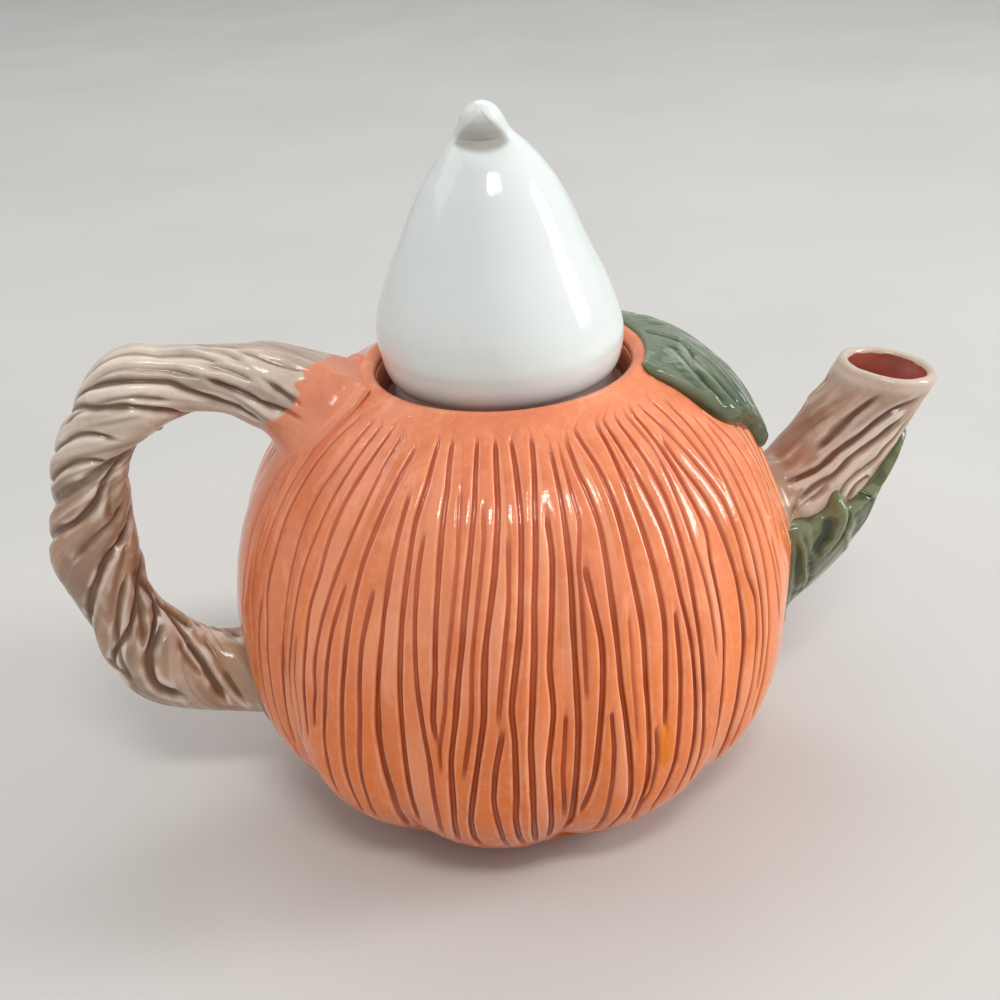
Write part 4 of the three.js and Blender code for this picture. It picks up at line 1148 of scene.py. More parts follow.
def root_range(vine, phis, lo, hi, depth, first):
    """For every column the place along the vine where it leaves the clay of the pot."""
    s = np.linspace(lo, hi, 400)
    S, F = np.meshgrid(s, phis, indexing="ij")
    turn = np.interp(S, vine.s, vine.turn)
    P = vine.point(S, F + turn)
    D = inside_body(P)
    rho = np.hypot(P[..., 0] - LID_X, P[..., 1])
    stop = (D > depth) | ((rho < 35.6) & (P[..., 2] > 100))
    if first:  # leaving at the start of the vine: the last place that is inside
        k = stop.shape[0] - 1 - np.argmax(stop[::-1], 0)
    else:  # arriving at its end: the first place that is inside
        k = np.argmax(stop, 0)
        k = np.where(stop.any(0), k, len(s) - 1)
    return s[k]


CREST = np.array([[34, 119.5], [35.4, 121.2], [38, 123.2], [40, 124.6], [43.6, 126.6], [49.8, 129.7], [53, 131.2],
                  [56, 132.3], [61, 133.9], [66, 136.5], [70, 150.0], [200, 200.0]])


def soft_min(a, b, k):
    h = np.clip(0.5 + 0.5 * (b - a) / k, 0, 1)
    return mix(b, a, h) - k * h * (1 - h)


def build_handle():
    vine = Vine(HANDLE_LINE)
    flow = lambda s: float(np.interp(s, vine.s, np.gradient(vine.turn, vine.s)))
    creases = []
    for depth, half, pts in HANDLE_CREASES:
        f = np.degrees(np.unwrap(np.radians([q[1] for q in pts])))
        f = f + 360 * round((90 - float(f.mean())) / 360)
        p = [(q[0], float(a)) for q, a in zip(pts, f)]
        for end in (True, False):
            s1, f1 = p[-1] if end else p[0]
            if f1 > 118 and depth > 0.5 and s1 > 50:
                p = lengthen(p, 8, 9 if depth > 0.8 else 5, flow, end)
            elif f1 < 58 and depth > 0.8 and 45 < s1 < 140:
                p = lengthen(p, 8, 5, flow, end)
        creases.append((depth, half, p))
    hidden = lambda s, f: f > 188 or f < 4
    creases += extra_creases(vine, 14, 166, creases, 34, 41, hidden)

    rows, cols = 392, 216
    phis = 2 * np.pi * np.arange(cols) / cols
    s_a = root_range(vine, phis, 0, 40, 1.5, True)
    s_b = root_range(vine, phis, 120, vine.length - 0.05, 1.5, False)
    t = np.linspace(0, 1, rows)[:, None]
    S = s_a[None, :] + (s_b - s_a)[None, :] * t
    turn = np.interp(S, vine.s, vine.turn)
    PHI = phis[None, :] + turn
    x, z, ux, uz, r = vine.normal_axis(S)
    sharp, soft = carve_vine(S, PHI, r, creases, 51)
    P0 = vine.point(S, PHI)
    # long fibres and soft lumps of modelled clay
    u = phis[None, :] * 10.5 + 0 * S
    fibre = noise2(u, S, 1.15, 13.0, 61) * 0.5 + noise2(u, S, 2.6, 22.0, 62)
    fibre = fibre * smooth(0, 3, np.minimum(u, 2 * np.pi * 10.5 - u))
    lump = noise3(P0.reshape(-1, 3), 9.0, 63).reshape(S.shape)
    small = noise3(P0.reshape(-1, 3), 2.8, 64).reshape(S.shape)
    D0 = inside_body(P0)
    near = smooth(-9, -2, D0) * (S < 60)
    amount = 1 - 0.75 * near
    disp = amount * (1.0 * sharp + 0.7 * soft) + 0.18 * (0.5 + 0.5 * fibre) + 0.2 * (0.6 + lump) + 0.06 * (0.5 + small)
    disp = np.maximum(disp, 0.02)
    turned = np.degrees((PHI + np.pi) % (2 * np.pi) - np.pi)
    size = np.where(S < 80, 4.5 + 4.5 * np.exp(-((turned / 60) ** 2)), 3.0)
    grow = flare(D0, size) * (D0 > -size)
    P = vine.point(S, PHI, r - disp + grow)
    # the crest comes down to the rim
    rho = np.hypot(P[..., 0] - LID_X, P[..., 1])
    cap = np.interp(rho, CREST[:, 0], CREST[:, 1])
    P[..., 2] = np.where(S < 50, soft_min(P[..., 2], cap, 0.8), P[..., 2])
    push = np.maximum(0, 35.5 - np.hypot(P[..., 0] - LID_X, P[..., 1])) * (S < 50)
    ang = np.arctan2(P[..., 1], P[..., 0] - LID_X)
    P[..., 0] += push * np.cos(ang)
    P[..., 1] += push * np.sin(ang)
    cav = disp - blur(disp, 3, 4)
    # how far the pot's orange glaze runs out over the root
    f = np.degrees(PHI) % 360
    edge = np.interp(f, [0, 23, 56, 80, 89, 114, 136, 154, 194, 240, 300, 360],
                     [23.5, 24.5, 25.0, 22.9, 21.7, 21.4, 21.5, 19.4, 15.1, 17.0, 21.0, 23.5])
    edge = edge + 1.1 * noise2(f * 0.2, 0 * f, 2.2, 1.0, 71) + 0.6 * noise3(P0.reshape(-1, 3), 1.6, 72).reshape(S.shape)
    orange = 1 - smooth(-0.35, 0.35, S - edge)
    cap_a, cap_b = P[0].mean(0), P[-1].mean(0)
    # the caps lie inside the wall of the pot
    verts = np.concatenate([P.reshape(-1, 3), [cap_a], [cap_b]])
    n = rows * cols
    quads = grid_faces(rows, cols)
    tris = np.concatenate([
        fan(np.arange(cols), n, flip=True),
        fan((rows - 1) * cols + np.arange(cols), n + 1),
    ])
    z0 = np.zeros(2)
    attrs = {
        "crease": np.concatenate([np.clip(sharp * amount, 0, 1.3).ravel(), z0]),
        "cav": np.concatenate([cav.ravel(), z0]),
        "orange": np.concatenate([orange.ravel(), z0]),
        "fib": np.concatenate([(0.5 + 0.4 * fibre).ravel(), z0]),
        "zone": np.zeros(n + 2),
    }
    return make_mesh("vine_handle", verts, [quads, tris], attrs)


def build_spout():
    vine = Vine(SPOUT_LINE)
    creases = [(depth, half, list(pts)) for depth, half, pts in SPOUT_CREASES]
    creases += extra_creases(vine, 26, 70, creases, 22, 43, lambda s, f: 128 < f < 350)
    cols = 256
    phis = 2 * np.pi * np.arange(cols) / cols
    tilt = SPOUT_TIP_TILT
    # columns run straight along the spout
    s = np.linspace(0, 50, 400)
    Sg, F = np.meshgrid(s, phis, indexing="ij")
    D = inside_body(vine.point(Sg, F, tilt=tilt))
    k = len(s) - 1 - np.argmax((D > 1.5)[::-1], 0)
    s_a = s[k]
    rows = 150
    t = np.linspace(0, 1, rows)[:, None]
    S = s_a[None, :] + (vine.length - s_a)[None, :] * t
    PHI = phis[None, :] + 0 * S
    x, z, ux, uz, r = vine.normal_axis(S, tilt)
    sharp, soft = carve_vine(S, PHI, r, creases, 53)
    P0 = vine.point(S, PHI, tilt=tilt)
    tip = smooth(vine.length - 8, vine.length - 1.0, S)
    turn = np.interp(S, vine.s, vine.turn)
    u = ((PHI - turn) % (2 * np.pi)) * 14
    fibre = noise2(u, S, 1.6, 12.0, 81) * 0.5 + noise2(u, S, 3.6, 20.0, 82)
    seam = np.minimum(u, 2 * np.pi * 14 - u)
    fibre = fibre * smooth(0, 3, seam)
    lump = noise3(P0.reshape(-1, 3), 9.0, 83).reshape(S.shape)
    small = noise3(P0.reshape(-1, 3), 2.6, 84).reshape(S.shape)
    D0 = inside_body(P0)
    disp = (1 - tip) * (0.95 * sharp + 0.6 * soft) + 0.12 * (1 + fibre) * (1 - 0.6 * tip) + 0.16 * (0.8 + lump) * (1 - 0.5 * tip) + 0.05 * (1 + small)
    disp = np.maximum(disp, 0.02)
    grow = flare(D0, 3.5) * (D0 > -3.5)
    P = vine.point(S, PHI, r - disp + grow, tilt=tilt)
    cav = disp - blur(disp, 3, 4)
    # rounded lip, then the bore
    tl = np.array([-math.cos(tilt), math.sin(tilt)])  # phi = 0 in the mouth's plane
    nrm = np.array([math.sin(tilt), math.cos(tilt)])  # out of the mouth
    xe, ze = vine.C[-1]
    rim_in = 10.3
    lip_rows = 12
    lips = []
    r_edge = np.linalg.norm(P[-1] - np.array([xe, 0, ze]), axis=1)
    for j in range(1, lip_rows + 1):
        a = math.pi * j / lip_rows
        rr = mix(r_edge, rim_in, (1 - math.cos(a)) / 2)
        up = 1.55 * math.sin(a) * (1 + 0.12 * noise1(phis * 6, 2.0, 85) * np.minimum(1, 2 * np.minimum(phis, 2 * np.pi - phis)))
        c = rr * np.cos(phis)
        lips.append(np.stack([xe + c * tl[0] + up * nrm[0], -rr * np.sin(phis), ze + c * tl[1] + up * nrm[1]], -1))
    # bore down to the wall of the pot
    bore_rows = 44
    depth_in = inside_body(vine.point(Sg, F, radius=12.0, tilt=tilt))
    kb = len(s) - 1 - np.argmax((depth_in > 1.5)[::-1], 0)
    s_c = s[kb]
    bores = []
    for j in range(1, bore_rows + 1):
        sj = vine.length + (s_c - vine.length) * (j / bore_rows)
        tt = np.interp(sj, vine.s, vine.t)
        rr = mix(12.6, rim_in, smooth(0.1, 0.7, tt))
        rr = rr - 0.18 * (1 + noise2(phis * 10 * 1.0, sj, 5.0, 9.0, 86) * np.minimum(1, 2 * np.minimum(phis, 2 * np.pi - phis)))* smooth(0, 4, vine.length - sj)
        bores.append(vine.point(sj, phis, radius=rr, tilt=tilt))
    grid = np.concatenate([P, np.stack(lips), np.stack(bores)])
    total = len(grid)
    n = total * cols
    quads = grid_faces(total, cols)
    i = np.arange(cols)
    m = (i + 1) % cols
    last = (total - 1) * cols
    ringq = np.stack([last + i, last + m, m, i], -1)
    zero = np.zeros((lip_rows + bore_rows, cols))
    lip_t = np.concatenate([np.full((rows, cols), 0.0), np.repeat((np.arange(1, lip_rows + 1) / lip_rows)[:, None], cols, 1),
                            np.ones((bore_rows, cols))])
    lipness = np.concatenate([tip**9, np.ones((lip_rows, cols)), np.zeros((bore_rows, cols))])
    wob = 0.06 * noise3(grid.reshape(-1, 3), 2.4, 87).reshape(total, cols)
    inside = smooth(0.8, 1.0, lip_t + wob * (lip_t > 0.2))
    inside[-bore_rows:] = 1
    attrs = {
        "crease": np.concatenate([np.clip(sharp * (1 - tip), 0, 1.3), zero]).ravel(),
        "cav": np.concatenate([cav, zero]).ravel(),
        "orange": np.zeros(n),
        "fib": np.concatenate([0.5 + 0.4 * fibre * (1 - 0.5 * tip), 0.5 + zero]).ravel(),
        "lip": lipness.ravel(),
        "zone": inside.ravel(),
    }
    return make_mesh("vine_spout", grid.reshape(-1, 3), [quads, ringq], attrs)

# ---------------------------------------------------------------- leaves
# rows from the stem end to the tip: height, azimuth of front edge, midrib, back edge (degrees), rise
SHOULDER_LEAF = [
    (122.0, -28, 4, 27, 1.8), (120.6, -31.2, 4, 31, 2.4), (118.4, -31, 4, 35, 3.2), (115.2, -30.2, 2, 38, 4.0),
    (111.6, -29.7, -2, 37, 4.6), (107.6, -26.8, -6, 31, 4.7), (103.2, -19, -8, 20, 4.1), (98.8, -12.8, -8, 10, 3.5),
    (94.8, -12.2, -7.5, 1, 3.1), (92.2, -10, -7, -4, 2.2),
]
# folds and veins of the shoulder leaf: height, half width, points in mm
SHOULDER_LINES = [
    (-1.2, 1.3, [(42.7, -5.8, 123.0), (45.7, -6.6, 122.0), (46.5, -10.0, 121.3), (46.9, -14.5, 120.3), (48.2, -18.1, 118.5), (49.4, -21.9, 115.9), (50.7, -24.1, 113.3), (51.8, -25.6, 110.6)]),
    (-0.8, 0.9, [(48.1, -0.9, 121.2), (49.4, -4.7, 120.5), (49.5, -9.9, 119.9), (51.1, -15.2, 117.8), (53.1, -19.3, 114.9), (55.2, -22.1, 111.4), (57.0, -22.2, 108.5)]),
    (-0.75, 0.8, [(50.8, 1.0, 119.9), (53.1, -4.5, 118.3), (55.0, -9.0, 116.4), (56.9, -13.3, 113.8), (59.0, -16.5, 110.4), (61.1, -17.6, 105.8), (63.8, -14.7, 100.9)]),
    (-0.6, 0.8, [(54.9, 3.3, 117.0), (59.3, 4.3, 113.0), (61.8, 0.4, 110.3), (62.8, -6.3, 108.5), (64.4, -9.9, 104.9), (65.1, -13.5, 101.2)]),
    (-0.6, 1.2, [(39.2, 2.3, 123.8), (42.8, 1.9, 123.1), (46.0, 0.5, 122.1), (48.7, -0.8, 120.9)]),
    (0.6, 1.1, [(40.5, -7.0, 123.4), (43.0, -12.0, 122.3), (44.0, -16.6, 120.8), (44.8, -19.7, 119.2), (46.3, -22.5, 116.8), (47.6, -24.6, 114.5)]),
    (0.5, 0.8, [(47.5, 3.3, 121.4), (49.4, 1.5, 120.6), (51.4, -2.0, 119.5), (52.6, -7.1, 118.4), (54.4, -10.8, 116.6), (56.1, -15.1, 114.0), (57.5, -18.9, 111.0), (59.6, -19.3, 107.4)]),
    (-0.8, 3.0, [(34.8, -14.4, 123.4), (38.6, -15.9, 122.5), (42.0, -19.3, 120.4), (44.7, -21.7, 118.0), (46.9, -24.5, 114.9)]),
    (0.5, 1.0, [(33.8, -17.8, 122.7), (35.8, -20.7, 121.2), (38.4, -22.1, 119.5), (40.9, -22.8, 118.3), (44.8, -23.5, 116.5), (46.8, -25.5, 113.8), (48.6, -26.5, 111.6), (50.1, -26.5, 110.2)]),
    (-0.4, 0.9, [(34.4, -19.4, 122.0), (36.5, -21.3, 120.6), (39.2, -22.5, 119.0), (41.6, -23.6, 117.4), (44.4, -24.9, 115.2), (46.2, -25.8, 113.6)]),
]
# the far half has the same kind of veins: height, half width, place across (1 is the back edge), rows
SHOULDER_VEINS = [
    (-0.8, 0.9, [(0.06, 0.30), (0.10, 0.34), (0.25, 0.38), (0.45, 0.40), (0.62, 0.36), (0.78, 0.30)]),
    (0.45, 0.9, [(0.04, 0.42), (0.15, 0.45), (0.35, 0.49), (0.55, 0.48), (0.74, 0.42)]),
    (-0.9, 1.0, [(0.05, 0.54), (0.18, 0.57), (0.38, 0.60), (0.58, 0.60), (0.80, 0.52)]),
    (0.4, 0.9, [(0.08, 0.66), (0.28, 0.68), (0.52, 0.70), (0.74, 0.66)]),
    (-0.7, 0.8, [(0.10, 0.78), (0.30, 0.79), (0.55, 0.80), (0.78, 0.76)]),
]
# the leaf under the spout, on the spout's own surface: front margin (mm along, phi degrees)
SPOUT_LEAF_EDGE = [
    (1.5, 172), (3, 161), (6, 149), (10, 139), (15, 116), (20, 97), (24, 81), (26.8, 73), (28.7, 72), (30.2, 76),
    (31.8, 82), (33.6, 86), (35.4, 89), (37.2, 89.5), (39.2, 87.5), (40.8, 87.5), (41.7, 91), (41.6, 96), (40.9, 102),
    (40.2, 108), (40.4, 113), (42.2, 120), (45.4, 130), (49.7, 141), (54.0, 143), (57.8, 147), (60.2, 156),
    (61.2, 170),
]
SPOUT_LEAF_LINES = [
    (1.3, 2.2, [(40.4, 94), (38.6, 100), (36.0, 107), (32.6, 112), (29.4, 112), (26.6, 109)]),
    (-0.95, 2.0, [(34.6, 89), (33.4, 95), (30.9, 101), (27.8, 104), (24.8, 106)]),
    (-1.3, 1.2, [(40.6, 106), (38.6, 112), (35.4, 118), (31.8, 120), (28.0, 119)]),
    (0.8, 1.6, [(29.4, 79), (27.8, 88), (25.2, 98), (22.4, 110)]),
    (0.6, 0.8, [(26.6, 79), (24.6, 93), (21.8, 110), (19.0, 136), (15.5, 150)]),
    (-0.6, 0.9, [(24.8, 79), (22.0, 94), (18.6, 112), (15.2, 135), (12.0, 150)]),
    (-0.7, 0.9, [(25.0, 95), (22.8, 113), (20.6, 133), (18.0, 148)]),
    (0.8, 1.3, [(41.6, 119), (45.4, 133), (49.6, 144), (53.8, 148), (57.6, 152)]),
    (-0.6, 1.2, [(39.8, 122), (44.0, 138), (48.4, 151), (53.4, 159)]),
    (0.5, 0.9, [(35.2, 113), (33.0, 134), (30.4, 153), (28.4, 160)]),
    (-0.6, 1.3, [(39.8, 113), (36.6, 139), (32.6, 154)]),
    (0.4, 1.0, [(46.0, 143), (43.0, 145), (39.0, 149), (34.0, 160)]),
    (-0.5, 1.0, [(57.0, 150), (50.0, 152), (43.0, 157), (36.0, 166), (26.0, 170)]),
]
# height of the leaf over the clay below it: mm along, at the keel, towards its edge
SPOUT_LEAF_RISE = [
    (0, 4.4, 1.3), (6, 5.9, 2.0), (14, 6.9, 2.3), (21, 7.3, 2.8), (27, 7.3, 3.2), (33, 7.0, 3.4), (39, 6.4, 3.3),
    (45.6, 5.0, 2.6), (50.5, 3.6, 1.9), (55.0, 2.2, 1.4), (61.4, 1.0, 0.8), (67, 0.8, 0.7),
]


def rows_between(table, count, even=None):
    """Catmull-Rom through the rows of a table, spaced evenly by the distance of the columns in even."""
    p = np.array(table, float)
    ext = np.vstack([2 * p[0] - p[1], p, 2 * p[-1] - p[-2]])
    k = np.linspace(0, len(p) - 1, 600)
    i = np.minimum(k.astype(int), len(p) - 2)
    f = (k - i)[:, None]
    p0, p1, p2, p3 = ext[i], ext[i + 1], ext[i + 2], ext[i + 3]
    q = 0.5 * (2 * p1 + (p2 - p0) * f + (2 * p0 - 5 * p1 + 4 * p2 - p3) * f**2 + (3 * p1 - p0 - 3 * p2 + p3) * f**3)
    e = q[:, even] if even is not None else q
    d = np.concatenate([[0], np.cumsum(np.linalg.norm(np.diff(e, axis=0), axis=1))])
    t = count if np.ndim(count) else np.linspace(0, 1, count)
    t = np.asarray(t) * d[-1]
    return np.stack([np.interp(t, d, q[:, c]) for c in range(q.shape[1])], -1)


def curve_through(points, step=0.5, closed=False):
    """Even points on a smooth curve through the given ones, any number of coordinates."""
    p = np.array(points, float)
    if closed:
        ext = np.vstack([p[-1], p, p[0], p[1]])
        last = len(p)
    else:
        ext = np.vstack([2 * p[0] - p[1], p, 2 * p[-1] - p[-2]])
        last = len(p) - 1
    k = np.linspace(0, last, 24 * last + 1)
    i = np.minimum(k.astype(int), last - 1)
    f = (k - i)[:, None]
    p0, p1, p2, p3 = ext[i], ext[i + 1], ext[i + 2], ext[i + 3]
    q = 0.5 * (2 * p1 + (p2 - p0) * f + (2 * p0 - 5 * p1 + 4 * p2 - p3) * f**2 + (3 * p1 - p0 - 3 * p2 + p3) * f**3)
    d = np.concatenate([[0], np.cumsum(np.linalg.norm(np.diff(q, axis=0), axis=1))])
    n = max(4, int(d[-1] / step) + 1)
    t = np.linspace(0, d[-1], n)
    return np.stack([np.interp(t, d, q[:, c]) for c in range(q.shape[1])], -1)


def far_from(points, line):
    """Least distance from each point to a polyline of many close points, and the place along it (0 to 1)."""
    best = np.full(len(points), 1e9)
    where = np.zeros(len(points))
    for k in range(len(line) - 1):
        a, b = line[k], line[k + 1]
        v = b - a
        t = np.clip(((points - a) @ v) / (v @ v + 1e-12), 0, 1)
        d = np.linalg.norm(points - a - t[:, None] * v, axis=1)
        m = d < best
        best = np.where(m, d, best)
        where = np.where(m, (k + t) / (len(line) - 1), where)
    return best, where


def crowded(n, share=0.6):
    """Places from -1 to 1, closer together at both ends."""
    u = np.linspace(-1, 1, n)
    return share * np.sin(u * np.pi / 2) + (1 - share) * u


def quarter(d, radius):
    """A quarter-round edge: 0 at its foot, 1 from radius inwards."""
    t = np.clip(1 - d / radius, 0, 1)
    return np.sqrt(1 - t * t)


def closed_sheet(name, top, under, attrs):
    """A solid between two grids that meet in their outer ring; attrs are for the top grid."""
    rows, cols = top.shape[:2]
    n = rows * cols
    index = np.arange(n).reshape(rows, cols)
    low = index + n
    low[0], low[-1], low[:, 0], low[:, -1] = index[0], index[-1], index[:, 0], index[:, -1]
    inner = under[1:-1, 1:-1].reshape(-1, 3)
    number = np.full(2 * n, -1)
    number[:n] = np.arange(n)
    keep = low[1:-1, 1:-1].ravel()
    number[keep] = n + np.arange(len(keep))
    low = number[low]
    up = np.stack([index[:-1, :-1], index[:-1, 1:], index[1:, 1:], index[1:, :-1]], -1).reshape(-1, 4)
    dn = np.stack([low[:-1, :-1], low[1:, :-1], low[1:, 1:], low[:-1, 1:]], -1).reshape(-1, 4)
    verts = np.concatenate([top.reshape(-1, 3), inner])
    full = {k: np.concatenate([v.ravel(), np.zeros(len(keep))]) for k, v in attrs.items()}
    return make_mesh(name, verts, [up, dn], full)


def blur_flat(a, n):
    """Box blur over a grid that doesn't wrap."""
    for axis in (0, 1):
        a = np.moveaxis(a, axis, 0)
        pad = np.concatenate([np.repeat(a[:1], n, 0), a, np.repeat(a[-1:], n, 0)])
        c = np.cumsum(np.concatenate([np.zeros((1,) + a.shape[1:]), pad]), 0)
        a = (c[2 * n + 1 :] - c[: -2 * n - 1]) / (2 * n + 1)
        a = np.moveaxis(a, 0, axis)
    return a


def build_shoulder_leaf():
    q = np.array(SHOULDER_LEAF, float)
    m = body_point(np.radians(q[:, 2]), q[:, 0])
    rows, cols = 150, 210
    R = rows_between(np.concatenate([q, m], 1), (crowded(rows, 0.45) + 1) / 2, [5, 6, 7])
    z, front, midrib, back, rise = (R[:, k][:, None] for k in range(5))
    t = crowded(cols, 0.6)[None, :]
    th = np.radians(np.where(t < 0, mix(midrib, front, -t), mix(midrib, back, t)))
    zz = z + 0 * th
    B = body_point(th, zz)
    e1 = body_point(th + 0.01, zz) - B
    e2 = body_point(th, zz - 0.3) - B
    n = np.cross(e2, e1)
    n /= np.linalg.norm(n, axis=-1, keepdims=True)
    rim = np.concatenate([B[:, 0], B[-1, 1:], B[::-1, -1][1:], B[0, ::-1][1:]])
    pts = B.reshape(-1, 3)
    d = far_from(pts, rim)[0].reshape(B.shape[:2])
    soft = 2.2
    H = (rise + 0 * th) * quarter(d, soft)
    # fuller in the middle of the leaf
    H = H + 0.3 * smooth(2, 12, d)
    T = B + n * H[..., None]
    flat = T.reshape(-1, 3)
    relief = np.zeros(len(flat))
    keep = smooth(0.2, 1.6, d).ravel()
    for height, half, line in SHOULDER_LINES:
        c = curve_through(line, 0.8)
        near = [int(np.argmin(((flat - p) ** 2).sum(1))) for p in c]
        c = flat[near]
        c = np.concatenate([c[:1], 0.25 * c[:-2] + 0.5 * c[1:-1] + 0.25 * c[2:], c[-1:]])
        dist, place_ = far_from(flat, c)
        ends = smooth(-0.05, 0.14, place_) * smooth(-0.05, 0.16, 1 - place_)
        relief += height * ends * np.exp(-((dist / half) ** 2))
    row_of = np.linspace(0, 1, rows)
    for height, half, line in SHOULDER_VEINS:
        c2 = curve_through(line, 0.02)
        j = np.clip(np.round(np.interp(c2[:, 0], (R[:, 0] - R[0, 0]) / (R[-1, 0] - R[0, 0]), np.arange(rows))), 0, rows - 1).astype(int)
        i = np.clip(np.round(np.interp(c2[:, 1], t[0], np.arange(cols))), 0, cols - 1).astype(int)
        c = T[j, i]
        dist, place_ = far_from(flat, c)
        ends = smooth(-0.05, 0.2, place_) * smooth(-0.05, 0.25, 1 - place_)
        relief += height * ends * np.exp(-((dist / half) ** 2))
    # fine fibres run from the stem to the tip
    across = (t * 26 + 0 * zz)
    along = np.cumsum(np.linalg.norm(np.diff(B, axis=0, prepend=B[:1]), axis=-1), 0)
    fibre = 0.5 * noise2(across, along, 0.9, 9.0, 91) + 0.5 * noise2(across, along, 2.2, 16.0, 92)
    lump = noise3(flat, 6.0, 93).reshape(H.shape)
    relief = relief.reshape(H.shape) + 0.16 * (fibre - 0.4) + 0.18 * (lump - 0.5)
    H2 = H + np.minimum(relief, 0.8) * keep.reshape(H.shape)
    # the folds stay above the clay
    H2 = np.maximum(H2, 0.35 * H)
    P = B + n * H2[..., None]
    # the outer ring is pressed into the clay
    edge = np.ones(H.shape, bool)
    edge[1:-1, 1:-1] = False
    P[edge] = (B - n * 1.2)[edge]
    under = B - n * 1.2
    # the stem end stands clear of the lid
    for G in (P, under):
        rho = np.hypot(G[..., 0] - LID_X, G[..., 1])
        push = np.maximum(0, 35.4 - rho)
        ang = np.arctan2(G[..., 1], G[..., 0] - LID_X)
        G[..., 0] += push * np.cos(ang)
        G[..., 1] += push * np.sin(ang)
    cav = H2 - blur_flat(blur_flat(H2, 4), 4)
    attrs = {"cav": cav, "rim": 1 - smooth(0.3, 2.6, d), "shaded_olive": np.zeros(H.shape)}
    return closed_sheet("shoulder_leaf", P[:, ::-1], under[:, ::-1], {k: v[:, ::-1] for k, v in attrs.items()})


